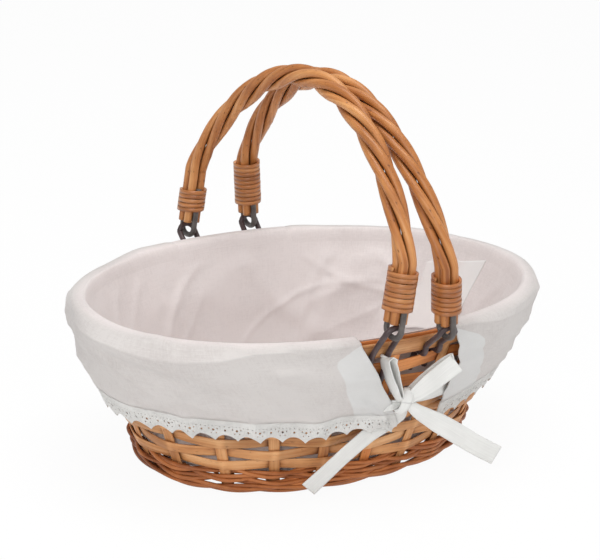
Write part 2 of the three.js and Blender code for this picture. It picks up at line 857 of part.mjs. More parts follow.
function ribbon(points, side) {
  const stations = points.map((point) => ({ point, side }));
  return sweep(stations, flatSection(ribbonWidth, ribbonThickness), false);
}

// Points of a bow are given from its knot: towards +X, out from the wall, and up
function bowPoint(knot, right, out, up) {
  return V(knot.x + right, knot.y + Math.sign(knot.y) * out, knot.z + up);
}

function bowSide(knot, right, out, up) {
  return V(right, Math.sign(knot.y) * out, up).normalize();
}

function bowKnot(knot) {
  const geometry = new THREE.SphereGeometry(1, 10, 6);
  const places = geometry.getAttribute('position');
  const rings = [];
  for (let i = 1; i < 6; i++) {
    const ring = [];
    for (let j = 0; j < 10; j++) {
      const point = V().fromBufferAttribute(places, i * 11 + j);
      ring.push(V(point.x * knotHalfSize.x, point.z * knotHalfSize.y, point.y * knotHalfSize.z).add(knot));
    }
    rings.push(ring);
  }
  return skin(rings, false);
}

// The ends of the loops, tails and ties meet inside the knot. Each run is given in shares of its reach.
function bowRun(knot, reach, shares, side) {
  return ribbon(shares.map(([right, out, up]) => bowPoint(knot, right * reach, out * reach, up * reach)), side);
}

function flatLoop(knot) {
  const shares = [
    [0.05, -0.01, 0.026],
    [0.53, 0.04, 0.34],
    [0.89, 0.095, 0.55],
    [1, 0.15, 0.6],
    [0.89, 0.23, 0.55],
    [0.53, 0.21, 0.32],
    [0.05, 0.045, 0.013],
  ];
  return bowRun(knot, flatLoopReach, shares, bowSide(knot, -0.62, -0.41, 0.67));
}

function uprightLoop(knot) {
  const shares = [
    [-0.025, -0.02, 0.025],
    [-0.28, 0.14, 0.41],
    [-0.5, 0.21, 0.77],
    [-0.72, 0.25, 1],
    [-0.81, 0.25, 0.87],
    [-0.6, 0.15, 0.49],
    [-0.34, 0.09, 0.12],
    [-0.05, 0.02, 0],
  ];
  return bowRun(knot, uprightLoopReach, shares, bowSide(knot, 0.05, 0.95, 0.3));
}

function rightTail(knot) {
  const shares = [
    [0.012, 0.018, -0.012],
    [0.34, 0.037, -0.23],
    [0.66, 0.037, -0.45],
    [1, 0.024, -0.67],
  ];
  return bowRun(knot, tailReach, shares, bowSide(knot, 0.57, 0, 0.82));
}

// A station on the wall where a ribbon lies flat, its width turned from the wall's upward line
function layOnWall(x, z, offset, front, leanDegrees) {
  const share = shareOfX(x, z, front);
  const lean = THREE.MathUtils.degToRad(leanDegrees);
  const up = wallSide(share, z);
  const right = wallNormal(share, z).cross(up).multiplyScalar(front ? -1 : 1);
  const side = up.multiplyScalar(Math.cos(lean)).addScaledVector(right, -Math.sin(lean));
  return { point: levelPoint(share, z, offset), side };
}

// This tail drops behind the corner of the flap, and hangs down in front of the weave.
// Each station is right and up in shares of the tail, offset in ribbon widths, and lean.
function leftTail(knot, front) {
  const runs = [
    [0.05, -0.15, 0.6, 70],
    [0.045, -0.24, 0.34, 60],
    [-0.02, -0.315, 0.3, 40],
    [-0.1, -0.37, 0.3, 33],
    [-0.28, -0.5, 0.5, 33],
    [-0.74, -0.77, 1.2, 33],
  ];
  const stations = runs.map(([right, up, offset, lean]) => {
    const [x, z] = [knot.x + right * tailReach, knotHeight + up * tailReach];
    return layOnWall(x, z, offset * ribbonWidth, front, lean);
  });
  stations.unshift({ point: knot, side: stations[0].side });
  return sweep(stations, flatSection(ribbonWidth, ribbonThickness), false);
}

// A ribbon runs from the knot to each flap, and is sewn on just above the hem
function tie(knot, flap, front, inwards) {
  const z = skirtHemHeight + ribbonWidth / 2;
  const part = (wallHeight - z) / (wallHeight - skirtHemHeight);
  const skirtAt = lerp(skirtOffset, skirtOffset - 1, (2 * part - 1));
  const offset = skirtAt + (clothThickness + ribbonThickness) / 2 + 1.5 * clearance;
  const edge = lerp(flap.rim, flap.hem, part);
  const stations = [0.2, 1].map((share) => layOnWall(edge + inwards * share * tieInset, z, offset, front, 0));
  stations.unshift({ point: knot, side: stations[0].side });
  return sweep(stations, flatSection(ribbonWidth, ribbonThickness), false);
}

// A bow ties the two flaps of the liner together, below the feet of the handles
function bow({ x, front }) {
  const knot = wallPoint(shareOfX(x, knotHeight, front), knotHeight, knotOffset);
  const [leftFlap, rightFlap] = front ? [frontLeftFlap, frontRightFlap] : [backLeftFlap, backRightFlap];
  return unite([
    bowKnot(knot),
    flatLoop(knot),
    uprightLoop(knot),
    leftTail(knot, front),
    rightTail(knot),
    tie(knot, leftFlap, front, -1),
    tie(knot, rightFlap, front, 1),
  ]);
}

// Scene

const willow = { color: 0xb87440, roughness: 0.55, metalness: 0 };
const paleWillow = { color: 0xc98c56, roughness: 0.5, metalness: 0 };
const cane = { color: 0xb9703a, roughness: 0.4, metalness: 0 };
const plastic = { color: 0x4f4443, roughness: 0.45, metalness: 0 };
const cotton = { color: 0xe6e0de, roughness: 0.95, metalness: 0 };
const satin = { color: 0xf2f2ef, roughness: 0.5, metalness: 0 };

function piece(name, geometry, material) {
  const mesh = new THREE.Mesh(geometry, new THREE.MeshStandardMaterial(material));
  mesh.name = name;
  return mesh;
}

const basket = new THREE.Group();

function addBase() {
  let crossNumber = 0;
  let longNumber = 0;
  for (let k = 0; k < stakeCount; k++) {
    const share = stakeShare(k);
    if (isLongStake(k)) {
      const mirrored = 0.5 - share;
      if (Math.cos(2 * Math.PI * share) <= 0) continue;
      longNumber += 1;
      basket.add(piece(`long_slat_${longNumber}`, slat(share, mirrored, true), willow));
    } else {
      if (Math.sin(2 * Math.PI * share) <= 0) continue;
      crossNumber += 1;
      basket.add(piece(`cross_slat_${crossNumber}`, slat(share, -share, false), willow));
    }
  }
  baseRodInsets.forEach((inset, i) => {
    basket.add(piece(`base_rod_${i + 1}`, baseRod(inset, i), willow));
  });
  basket.add(piece('foot_rod', footRod(), willow));
}

function addWall() {
  for (let i = 0; i <= wovenRodCount; i++) {
    const height = topRodHeight - (wovenRodCount - i) * wallRodPitch;
    const isOut = (k) => i === 0 || (k + i) % 2 === 0;
    basket.add(piece(`wall_rod_${i + 1}`, wallRod(height, isOut), willow));
  }
  rows.forEach(({ height, width }, i) => {
    basket.add(piece(`weaver_row_${rows.length - i}`, weaverRow(height, width, i + 1), paleWillow));
  });
  basket.add(piece('border_hoop_outer', borderHoop(1), paleWillow));
  basket.add(piece('border_hoop_inner', borderHoop(-1), willow));
}

function addHandle(name, lean) {
  const { matrix, halfSpan } = handleFrame(name, lean);
  const handle = new THREE.Group();
  matrix.decompose(handle.position, handle.quaternion, handle.scale);
  for (let i = 0; i < 4; i++) {
    handle.add(piece(`${name}_handle_rod_${i + 1}`, handleRod(halfSpan, i), paleWillow));
  }
  for (const end of ['front', 'back']) {
    const foot = new THREE.Group();
    foot.position.y = end === 'front' ? -halfSpan : halfSpan;
    foot.add(piece(`${name}_${end}_stirrup`, stirrup(), plastic));
    foot.add(piece(`${name}_${end}_binding`, binding(`${name}_${end}`), cane));
    handle.add(foot);
  }
  basket.add(handle);
}

function addBasketLoops() {
  const slots = {
    left_front: lowerSlotHeight,
    left_back: upperSlotHeight,
    right_front: upperSlotHeight,
    right_back: upperSlotHeight,
  };
  for (const [name, slot] of Object.entries(slots)) {
    basket.add(piece(`${name}_basket_loop`, basketLoop(name, slot), plastic));
  }
}

function addLiner() {
  basket.add(piece('liner_bag', linerBag(), cotton));
  for (const [name, left] of [['left', true], ['right', false]]) {
    basket.add(piece(`liner_skirt_${name}`, skirt(left), cotton));
    basket.add(piece(`lace_trim_${name}`, lace(left), satin));
  }
  basket.add(piece('liner_label', label(), satin));
}

function addBows() {
  basket.add(piece('front_bow', bow(frontKnot), satin));
  basket.add(piece('back_bow', bow(backKnot), satin));
}

const lean = restingLean();
console.log(`handles lean in by ${THREE.MathUtils.radToDeg(lean).toFixed(2)} degrees`);
addBase();
addWall();
addHandle('left', lean);
addHandle('right', -lean);
addBasketLoops();
addLiner();
addBows();

export default basket;
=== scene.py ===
# The looks of the oval basket: willow, cane, tube loops, cotton liner, lace and ribbon.
# Lengths are in millimetres in the functions here, and in metres in the scene.
import math

import bpy
import numpy as np
from mathutils import Matrix, Vector


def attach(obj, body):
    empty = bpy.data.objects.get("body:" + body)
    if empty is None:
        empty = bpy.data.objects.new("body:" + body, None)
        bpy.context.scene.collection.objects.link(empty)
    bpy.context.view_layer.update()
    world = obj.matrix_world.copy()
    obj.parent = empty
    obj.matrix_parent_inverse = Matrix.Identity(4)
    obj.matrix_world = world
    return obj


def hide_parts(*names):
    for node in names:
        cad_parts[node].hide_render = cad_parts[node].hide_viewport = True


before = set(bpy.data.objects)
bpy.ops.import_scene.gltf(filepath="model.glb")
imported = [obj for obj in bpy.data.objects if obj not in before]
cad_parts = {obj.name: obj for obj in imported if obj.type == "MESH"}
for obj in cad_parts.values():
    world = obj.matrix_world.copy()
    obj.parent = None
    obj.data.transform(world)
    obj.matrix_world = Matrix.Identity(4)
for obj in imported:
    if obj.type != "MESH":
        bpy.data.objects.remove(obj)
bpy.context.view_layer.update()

MM = 0.001

# The same sizes as the solids
OVAL_POWER = 2.15
BASE_A, BASE_B = 124.6, 79.2
RIM_A, RIM_B = 182.0, 115.0
WALL_H = 126.0
STAKES = 20
CROSS_EACH_SIDE = 3
SLAT_W, SLAT_T = 8.0, 1.4
CLEAR = 0.3
WEAVER_W, WEAVER_T = 11.0, 1.4
LOWER_ROWS, LOWER_PITCH, LOWER_W = 6, 9.65, 9.2
CROSS_LEVEL, LONG_LEVEL = 4.7, 6.4
SLAT_LEVEL = {True: LONG_LEVEL, False: CROSS_LEVEL}
SLAT_BOW = {True: 0.5, False: 0.22}
CORNER = 3.6
BASE_ROD_INSETS, BASE_ROD_D = (9, 17), 3.0
BAG_T = 1.5
WALL_RODS, WALL_ROD_D, ROD_PITCH, ROD_GAP = 4, 3.4, 3.75, 0.35
HOOP_W, HOOP_T = 13.0, 2.0
ROD_D = 6.6
ROD_CIRCLE = (ROD_D + 0.45) / math.sqrt(2)
LOOP_D = 4.2
SLOT_H = LOOP_D + 0.8
UPPER_SLOT = WALL_H - HOOP_W - SLOT_H / 2
EYE_R = 6.5
EYE_TILT = math.radians(25)
HANDLE_H, HANDLE_LEG = 149.0, 50.0
ARCH_POWER = 1.6
HANDLE_TURNS, TWIST_GATHER = 2.5, 0.3
HINGE_Y = 129.5
LEAN = math.radians(6.46)
HINGES = {
    "left_front": (-17.5, 136.0),
    "left_back": (-32.0, 128.0),
    "right_front": (28.0, 129.5),
    "right_back": (23.5, 129.0),
}
ROD_END = EYE_R + LOOP_D / 2 + CLEAR
STIRRUP_HALF = 7.9
STIRRUP_DROP = 1.9
STIRRUP_LEG = 36.0
BINDING_START = ROD_END + 7.0
BINDING_TURNS = {"left_front": 8.5, "left_back": 5.0, "right_front": 7.5, "right_back": 10.0}
HEM_Z = 69.0
FLAPS = {
    "left": {"front": (-34.0, 3.0), "back": (-49.0, -24.0)},
    "right": {"front": (46.0, 58.0), "back": (40.0, 20.0)},
}

# Cloth and ribbon; the flat sizes and the fall of the skirt are in metres
CLOTH_T = 0.6
BAG_INSET, BAG_CORNER, BAG_LINE = 14.5, 6.0, -8.4
BAG_FLAT = (0.62, 0.46)
SKIRT_FALL = 0.096
SCALLOP = 17.0
LABEL_AT, LABEL_W = 0.046, 57.0

UP = np.array([0.0, 0.0, 1.0])
GRAIN_SCALE = 0.01


# Small numeric helpers

def smooth(x, a, b):
    t = np.clip((np.asarray(x, float) - a) / (b - a), 0, 1)
    return t * t * (3 - 2 * t)


def waves(x, seed, count, low, high):
    """A smooth wandering number between about -1 and 1, periodic in x with period 1."""
    rng = np.random.default_rng(seed)
    x = np.asarray(x, float)
    total = np.zeros_like(x)
    for _ in range(count):
        k = int(rng.integers(low, high + 1))
        total += np.sin(2 * np.pi * (k * x + rng.random())) * rng.uniform(0.5, 1)
    return total / count


def unit(v):
    return v / np.maximum(np.linalg.norm(v, axis=-1, keepdims=True), 1e-12)


def distances(path):
    """How far along the path each of its points lies."""
    return np.r_[0, np.cumsum(np.linalg.norm(np.diff(path, axis=0), axis=1))]


# The sloping oval wall

def oval_unit(angle):
    c, s = np.cos(angle), np.sin(angle)
    p = 2 / OVAL_POWER
    return np.sign(c) * np.abs(c) ** p, np.sign(s) * np.abs(s) ** p


def half_sizes(z):
    k = np.asarray(z, float) / WALL_H
    return BASE_A + (RIM_A - BASE_A) * k, BASE_B + (RIM_B - BASE_B) * k


def make_table():
    angles = np.linspace(0, 2 * np.pi, 2881)
    fx, fy = oval_unit(angles)
    a, b = half_sizes(WALL_H / 2)
    steps = np.hypot(np.diff(fx * a), np.diff(fy * b))
    return angles, np.concatenate([[0], np.cumsum(steps)])


TABLE = make_table()
ROUND = TABLE[1][-1]


def oval_angle(share):
    share = np.asarray(share, float)
    return np.interp((share % 1.0) * ROUND, TABLE[1], TABLE[0])


def wall_normal(share, z):
    fx, fy = oval_unit(oval_angle(share))
    a, b = half_sizes(z)
    n = OVAL_POWER
    slope_a, slope_b = (RIM_A - BASE_A) / WALL_H, (RIM_B - BASE_B) / WALL_H
    down = np.abs(fx) ** n * slope_a / a + np.abs(fy) ** n * slope_b / b
    nx = np.sign(fx) * np.abs(fx) ** (n - 1) / a
    ny = np.sign(fy) * np.abs(fy) ** (n - 1) / b
    return unit(np.stack(np.broadcast_arrays(nx, ny, -down), -1))


def wall_point(share, z, offset):
    share, z, offset = np.broadcast_arrays(
        np.asarray(share, float), np.asarray(z, float), np.asarray(offset, float))
    fx, fy = oval_unit(oval_angle(share))
    a, b = half_sizes(z)
    return np.stack([fx * a, fy * b, z], -1) + wall_normal(share, z) * offset[..., None]


def level_point(share, z, offset):
    """The same, but kept at its height."""
    p = wall_point(share, z, offset)
    p[..., 2] = z
    return p


def wall_up(share, z):
    n = wall_normal(share, z)
    return unit(UP - n * n[..., 2:3])


def share_of_x(x, z, front):
    shares = np.linspace(0, 0.5, 4001)
    xs = oval_unit(oval_angle(np.clip(shares, 0, 0.49999)))[0] * half_sizes(z)[0]
    share = np.interp(-x, -xs, shares)
    return 1 - share if front else share


# Meshes

def add_object(name, data):
    obj = bpy.data.objects.new(name, data)
    bpy.context.collection.objects.link(obj)
    return obj


def mesh_object(name, points, faces, uvs=None, face_slots=None):
    """points and uvs are in millimetres; uvs has one pair per face corner."""
    mesh = bpy.data.meshes.new(name)
    mesh.from_pydata([tuple(p) for p in (np.asarray(points) * MM).tolist()], [], faces)
    if uvs is not None:
        layer = mesh.uv_layers.new(name="grain")
        layer.data.foreach_set("uv", (np.asarray(uvs, float) * GRAIN_SCALE).ravel())
    mesh.polygons.foreach_set("use_smooth", [True] * len(mesh.polygons))
    if face_slots is not None:
        mesh.polygons.foreach_set("material_index", face_slots)
    mesh.update()
    return add_object(name, mesh)


def grid_uv(along, across):
    return np.stack(np.meshgrid(along, across, indexing="ij"), -1)


def grid_cells(uv, closed=False, first=0):
    """Faces and face corners of a grid of points; uv[i, j] is in millimetres along and across."""
    nu, nv = uv.shape[:2]
    step = uv[1, 0] - uv[0, 0]
    faces, corners = [], []
    for i in range(nu if closed else nu - 1):
        i2 = (i + 1) % nu
        a, b = first + i * nv, first + i2 * nv
        for j in range(nv - 1):
            faces.append((a + j, b + j, b + j + 1, a + j + 1))
            here, beside = uv[i, j], uv[i, j + 1]
            ahead = uv[i2, j] if i2 else here + step
            corners += [here, ahead, ahead + (beside - here), beside]
    return faces, corners


def grid_object(name, pts, closed=False):
    """pts[i, j] is a sheet of points."""
    along = np.linalg.norm(np.diff(pts, axis=0), axis=2).mean(axis=1)
    across = np.linalg.norm(np.diff(pts, axis=1), axis=2).mean(axis=0)
    uv = grid_uv(np.r_[0, np.cumsum(along)], np.r_[0, np.cumsum(across)])
    return mesh_object(name, pts.reshape(-1, 3), *grid_cells(uv, closed))


def frames_along(path, side, closed):
    if closed:
        tangent = np.roll(path, -1, 0) - np.roll(path, 1, 0)
    else:
        tangent = np.gradient(path, axis=0)
    tangent = unit(tangent)
    side = unit(side - tangent * (side * tangent).sum(-1, keepdims=True))
    return tangent, side, np.cross(side, tangent)


def sweep(name, path, side, section, closed=False, cap_slot=0, cap_bulge=0.0, tone=None):
    """section is (m, 2), or (n, m, 2) to change along the path. tone darkens or lightens, -1 to 1; callers use it for
    painted shade and painted highlight and for tone that differs at random.
    """
    path, side = np.asarray(path, float), np.asarray(side, float)
    side = np.broadcast_to(side, path.shape)
    tangent, side, out = frames_along(path, side, closed)
    section = np.asarray(section, float)
    if section.ndim == 2:
        section = np.broadcast_to(section, (len(path),) + section.shape)
    pts = path[:, None] + side[:, None] * section[..., 0:1] + out[:, None] * section[..., 1:2]
    n, m = pts.shape[:2]
    length = distances(path)
    around = distances(np.r_[section[0], section[0][:1]])
    faces, corners, slots = [], [], []
    last = length[-1] + (np.linalg.norm(path[0] - path[-1]) if closed else 0)
    for i in range(n if closed else n - 1):
        i2 = (i + 1) % n
        u0, u1 = length[i], (length[i2] if i2 else last)
        for j in range(m):
            j2 = (j + 1) % m
            faces.append((i * m + j, i2 * m + j, i2 * m + j2, i * m + j2))
            v0, v1 = around[j], around[j + 1]
            corners += [(u0, v0), (u1, v0), (u1, v1), (u0, v1)]
            slots.append(0)
    points = pts.reshape(-1, 3)
    if tone is not None:
        tone = np.asarray(tone, float)
        tone = np.broadcast_to(tone[:, None] if tone.ndim == 1 else tone, (n, m)).ravel()
    if not closed:
        for end, order in ((0, 1), (n - 1, -1)):
            centre_at = len(points)
            points = np.vstack([points, pts[end].mean(0) - tangent[end] * order * cap_bulge])
            for j in range(m):
                a, b = end * m + j, end * m + (j + 1) % m
                faces.append((a, b, centre_at) if order == 1 else (b, a, centre_at))
                corners += [(0, 0), (2, 0), (1, 2)]
                slots.append(cap_slot)
    obj = mesh_object(name, points, faces, corners, face_slots=slots)
    if tone is not None:
        set_tone(obj, tone)
    return obj


def band_section(width, thickness, crown=0.35, sides=4):
    """A flat strip with rounded edges and a slightly domed face."""
    w, t = width / 2, thickness / 2
    top = [(x, t + crown * (1 - (x / w) ** 2) - crown * 0.5) for x in np.linspace(-w * 0.86, w * 0.86, sides + 1)]
    bottom = [(x, -t) for x in np.linspace(w * 0.86, -w * 0.86, 3)]
    return [(-w, -t * 0.3), (-w * 0.96, t * 0.6)] + top + [(w * 0.96, t * 0.6), (w, -t * 0.3)] + bottom


def round_section(diameter, sides):
    a = (np.arange(sides) + 0.5) / sides * 2 * np.pi
    return np.stack([np.cos(a), np.sin(a)], -1) * diameter / 2


def smooth_path(points, count):
    """A Catmull-Rom curve through the points, at even steps along it."""
    p = np.asarray(points, float)
    p = np.vstack([2 * p[0] - p[1], p, 2 * p[-1] - p[-2]])
    fine = []
    for i in range(1, len(p) - 2):
        t = np.linspace(0, 1, 24, endpoint=False)[:, None]
        a, b, c, d = p[i - 1], p[i], p[i + 1], p[i + 2]
        fine.append(0.5 * (2 * b + (c - a) * t + (2 * a - 5 * b + 4 * c - d) * t ** 2
                           + (3 * b - a - 3 * c + d) * t ** 3))
    fine = np.vstack(fine + [p[-2][None]])
    length = distances(fine)
    at = np.linspace(0, length[-1], count)
    return np.stack([np.interp(at, length, fine[:, k]) for k in range(3)], -1)


def carried_frames(path, first):
    """Side directions carried along a bent tube without twist."""
    tangent = unit(np.gradient(path, axis=0))
    side, sides = np.asarray(first, float), []
    for t in tangent:
        side = side - t * np.dot(side, t)
        side = side / np.linalg.norm(side)
        sides.append(side)
    return np.array(sides)


# Materials

class Nodes:
    """Short names for building a node material."""

    def __init__(self, name):
        self.material = bpy.data.materials.new(name)
        self.material.use_nodes = True
        self.tree = self.material.node_tree
        self.shader = self.tree.nodes["Principled BSDF"]

    def add(self, kind, settings=None, **inputs):
        node = self.tree.nodes.new(kind)
        for key, value in (settings or {}).items():
            setattr(node, key, value)
        for key, value in inputs.items():
            self.put(node.inputs[key.replace("_", " ")], value)
        return node

    def put(self, socket, value):
        if isinstance(value, bpy.types.NodeSocket):
            self.tree.links.new(value, socket)
        else:
            socket.default_value = value

    def mapping(self, source, scale, location=(0, 0, 0)):
        node = self.add("ShaderNodeMapping")
        node.inputs["Scale"].default_value = scale
        node.inputs["Location"].default_value = location
        self.put(node.inputs["Vector"], source)
        return node.outputs["Vector"]

    def noise(self, vector, scale, detail=3.0, rough=0.55):
        node = self.add("ShaderNodeTexNoise", Vector=vector, Scale=scale, Detail=detail, Roughness=rough)
        return node.outputs["Fac"]

    def ramp(self, factor, stops):
        node = self.add("ShaderNodeValToRGB", Fac=factor)
        elements = node.color_ramp.elements
        while len(elements) < len(stops):
            elements.new(0.5)
        for element, (at, color) in zip(elements, stops):
            element.position = at
            element.color = (*color, 1)
        return node.outputs["Color"]

    def mix(self, factor, a, b):
        node = self.add("ShaderNodeMix", {"data_type": "RGBA"})
        self.put(node.inputs[0], factor)
        for socket, value in ((node.inputs[6], a), (node.inputs[7], b)):
            self.put(socket, value if isinstance(value, bpy.types.NodeSocket) else (*value, 1))
        return node.outputs[2]

    def math(self, operation, a, b, clamp=False):
        node = self.add("ShaderNodeMath", {"operation": operation, "use_clamp": clamp})
        self.put(node.inputs[0], a)
        self.put(node.inputs[1], b)
        return node.outputs[0]

    def remap(self, value, low, high):
        node = self.add("ShaderNodeMapRange")
        self.put(node.inputs["Value"], value)
        node.inputs["To Min"].default_value = low
        node.inputs["To Max"].default_value = high
        return node.outputs["Result"]

    def bump(self, height, strength, distance):
        node = self.add("ShaderNodeBump", Height=height, Strength=strength, Distance=distance)
        return node.outputs["Normal"]

    def grain(self):
        return self.add("ShaderNodeUVMap", {"uv_map": "grain"}).outputs["UV"]

    def place(self):
        return self.add("ShaderNodeTexCoord").outputs["Object"]

    def attribute(self, name):
        return self.add("ShaderNodeAttribute", {"attribute_name": name}).outputs["Fac"]

    def bands(self, vector, direction, **inputs):
        node = self.add("ShaderNodeTexWave", {"wave_type": "BANDS", "bands_direction": direction},
                        Vector=vector, **inputs)
        return node.outputs["Fac"]

    def weighted(self, *parts):
        """The sum of some values, each times its weight."""
        total = self.math("MULTIPLY", *parts[0])
        for part in parts[1:]:
            total = self.math("ADD", total, self.math("MULTIPLY", *part))
        return total

    def blend_in(self, factor, other):
        """Mixes another shader into the surface."""
        mixer = self.add("ShaderNodeMixShader")
        for socket, value in zip(mixer.inputs, (factor, self.shader.outputs[0], other)):
            self.put(socket, value)
        self.put(self.tree.nodes["Material Output"].inputs["Surface"], mixer.outputs[0])

    def set(self, **values):
        for key, value in values.items():
            self.put(self.shader.inputs[key.replace("_", " ")], value)
        return self.material


def rgb(r, g, b):
    """sRGB bytes to the linear colour that the shader takes."""
    def linear(c):
        c /= 255
        return c / 12.92 if c <= 0.04045 else ((c + 0.055) / 1.055) ** 2.4
    return linear(r), linear(g), linear(b)


def scale_color(color, k):
    return tuple(c * k for c in color)


def wood(name, light, middle, dark, seed, rough=(0.42, 0.6), coat=0.0, specks=0.35, grain=60.0, bump=0.35):
    """Willow: long fibres, slow changes of tone, dark marks, and from the tone attribute a painted highlight on bends
    and crowns and painted shade in recesses and where pieces touch.
    """
    n = Nodes(name)
    uv = n.grain()
    place = n.place()
    shade = n.attribute("tone")
    fibre = n.noise(n.mapping(uv, (2.2, grain, 1), (seed * 3.1, seed * 1.7, 0)), 1.0, 5.0, 0.62)
    streak = n.noise(n.mapping(uv, (0.9, grain * 0.28, 1), (seed * 7.3, seed * 2.9, 0)), 1.0, 2.0)
    patch = n.noise(n.mapping(place, (1, 1, 1), (seed, seed * 0.37, seed * 0.61)), 26.0, 3.0)
    tone = n.weighted((fibre, 0.42), (streak, 0.33), (patch, 0.38))
    color = n.ramp(tone, [(0.40, dark), (0.55, middle), (0.70, light)])
    mark = n.noise(n.mapping(uv, (24, 60, 1), (seed * 5.7, seed, 0)), 1.0, 2.0, 0.5)
    marks = n.ramp(mark, [(0.645, (0, 0, 0)), (0.70, (1, 1, 1))])
    color = n.mix(n.math("MULTIPLY", marks, specks), color, scale_color(dark, 0.35))
    # painted highlight where the tone attribute is above 0 and painted shade where it is below 0; the same attribute
    # also carries tone that differs at random
    color = n.mix(n.math("MULTIPLY", shade, 0.55, True), color, scale_color(light, 1.12))
    color = n.mix(n.math("MULTIPLY", shade, -0.75, True), color, scale_color(dark, 0.42))
    shine = n.remap(fibre, rough[1], rough[0])
    return n.set(Base_Color=color, Roughness=shine, Normal=n.bump(fibre, bump, 0.0004), Coat_Weight=coat,
                 Coat_Roughness=0.3, Specular_IOR_Level=0.4)


def cut_wood(name, light, dark):
    """The cut end of a rod: pale wood round a darker heart."""
    n = Nodes(name)
    place = n.place()
    grain = n.noise(place, 900.0, 3.0)
    color = n.ramp(grain, [(0.35, dark), (0.6, light)])
    return n.set(Base_Color=color, Roughness=0.7, Normal=n.bump(grain, 0.4, 0.0003))


def tube_plastic(name, color, lighter):
    """Dark soft tube with slow changes of tone and small scuffs."""
    n = Nodes(name)
    place = n.place()
    cloud = n.noise(place, 140.0, 3.0)
    scuff = n.noise(place, 900.0, 2.0)
    shade = n.ramp(cloud, [(0.35, color), (0.7, lighter)])
    return n.set(Base_Color=shade, Roughness=n.remap(scuff, 0.3, 0.5),
                 Normal=n.bump(scuff, 0.12, 0.0002), Specular_IOR_Level=0.5)


def cloth(name, color, shade, slub, thread=0.42, through=0.0, inner=None):
    """Plain woven cotton: threads, slubs, slow changes of tone, whiter where it is doubled.

    A smaller thread gives a finer weave. inner is a pair of colours for where the attribute of that name is 1: the
    bag's colours, painted lighter to make up for the shade inside the basket.
    """
    n = Nodes(name)
    uv = n.grain()
    place = n.place()
    doubled = n.attribute("tone")
    per = 100 / thread / 6.2832
    warp, weft = [n.bands(uv, axis, Scale=per, Distortion=0.6, Detail=1.0, Detail_Scale=3.0) for axis in "XY"]
    weave = n.math("MULTIPLY", warp, weft)
    slubs = n.math("ADD", *[n.noise(n.mapping(uv, stretch), 1.0, 3.0) for stretch in ((8, 170, 1), (170, 8, 1))])
    cloud = n.noise(place, 15.0, 4.0, 0.6)
    fine = n.noise(place, 420.0, 3.0, 0.7)
    tone = n.weighted((cloud, 0.55), (slubs, 0.3 * slub), (fine, 0.3))
    base = n.ramp(tone, [(0.40, shade), (0.78, color)])
    # the bag's painted-lighter colours take over where the inner attribute is 1
    if inner:
        base = n.mix(n.attribute("inner"), base, n.ramp(tone, [(0.40, inner[1]), (0.78, inner[0])]))
    base = n.mix(n.math("MULTIPLY", weave, 0.05), base, scale_color(color, 1.05))
    base = n.mix(n.math("MULTIPLY", n.math("MULTIPLY", doubled, 6.0, True), 0.7), base, rgb(233, 234, 233))
    normal = n.bump(n.weighted((weave, 0.5), (slubs, 0.6)), 0.3, 0.00035)
    if through:
        glow = n.add("ShaderNodeBsdfTranslucent", Color=base, Normal=normal)
        n.blend_in(through, glow.outputs[0])
    return n.set(Base_Color=base, Roughness=0.92, Normal=normal, Sheen_Weight=0.25, Sheen_Roughness=0.5,
                 Specular_IOR_Level=0.2)


def lace_cloth(name, color, shade):
    """Cotton embroidery: satin stitches that follow the scallops."""
    n = Nodes(name)
    uv = n.grain()
    place = n.place()
    stitch = n.bands(uv, "DIAGONAL", Scale=34.0, Distortion=5.0, Detail=2.0, Detail_Scale=1.5)
    lumps = n.noise(n.mapping(uv, (14, 14, 1)), 1.0, 3.0)
    height = n.math("ADD", n.math("MULTIPLY", stitch, 0.5), lumps)
    base = n.ramp(n.noise(place, 60.0, 3.0), [(0.35, shade), (0.65, color)])
    return n.set(Base_Color=base, Roughness=0.85, Normal=n.bump(height, 0.7, 0.0005),
                 Sheen_Weight=0.2, Specular_IOR_Level=0.25)


def ribbon_cloth(name, color, shade):
    """Narrow woven ribbon with fine ribs across it."""
    n = Nodes(name)
    uv = n.grain()
    place = n.place()
    ribs = n.bands(uv, "X", Scale=32.0, Distortion=0.4, Detail=1.0)
    yarn = n.noise(n.mapping(uv, (3, 120, 1)), 1.0, 3.0)
    base = n.ramp(n.weighted((yarn, 0.5), (n.noise(place, 40.0), 0.5)), [(0.35, shade), (0.62, color)])
    height = n.weighted((ribs, 0.5), (yarn, 0.6))
    return n.set(Base_Color=base, Roughness=0.62, Normal=n.bump(height, 0.45, 0.0003),
                 Sheen_Weight=0.3, Sheen_Roughness=0.4, Specular_IOR_Level=0.35)


LIGHT, MIDDLE, DARK = rgb(232, 180, 128), rgb(208, 146, 92), rgb(154, 90, 48)
WILLOW = [
    wood("willow_a", LIGHT, MIDDLE, DARK, 1.0),
    wood("willow_b", scale_color(LIGHT, 0.92), scale_color(MIDDLE, 0.9), scale_color(DARK, 0.85), 2.0),
    wood("willow_c", scale_color(LIGHT, 1.04), scale_color(MIDDLE, 1.05), scale_color(DARK, 1.0), 3.0),
    wood("willow_amber", rgb(234, 160, 94), rgb(210, 128, 68), rgb(152, 84, 40), 4.0),
]
BASKET_ROD = wood("willow_rod", rgb(212, 140, 84), rgb(180, 106, 56), rgb(124, 66, 32), 6.0, grain=40.0)
HANDLE_WOOD = [
    wood("varnished_willow_a", rgb(218, 158, 100), rgb(190, 124, 68), rgb(148, 84, 40), 8.0,
         rough=(0.36, 0.5), coat=0.12, specks=0.6, grain=42.0, bump=0.25),
    wood("varnished_willow_b", rgb(206, 144, 86), rgb(178, 112, 58), rgb(134, 74, 34), 9.0,
         rough=(0.36, 0.5), coat=0.12, specks=0.7, grain=42.0, bump=0.25),
]
CUT_END = cut_wood("cut_willow", rgb(206, 150, 96), rgb(150, 92, 50))
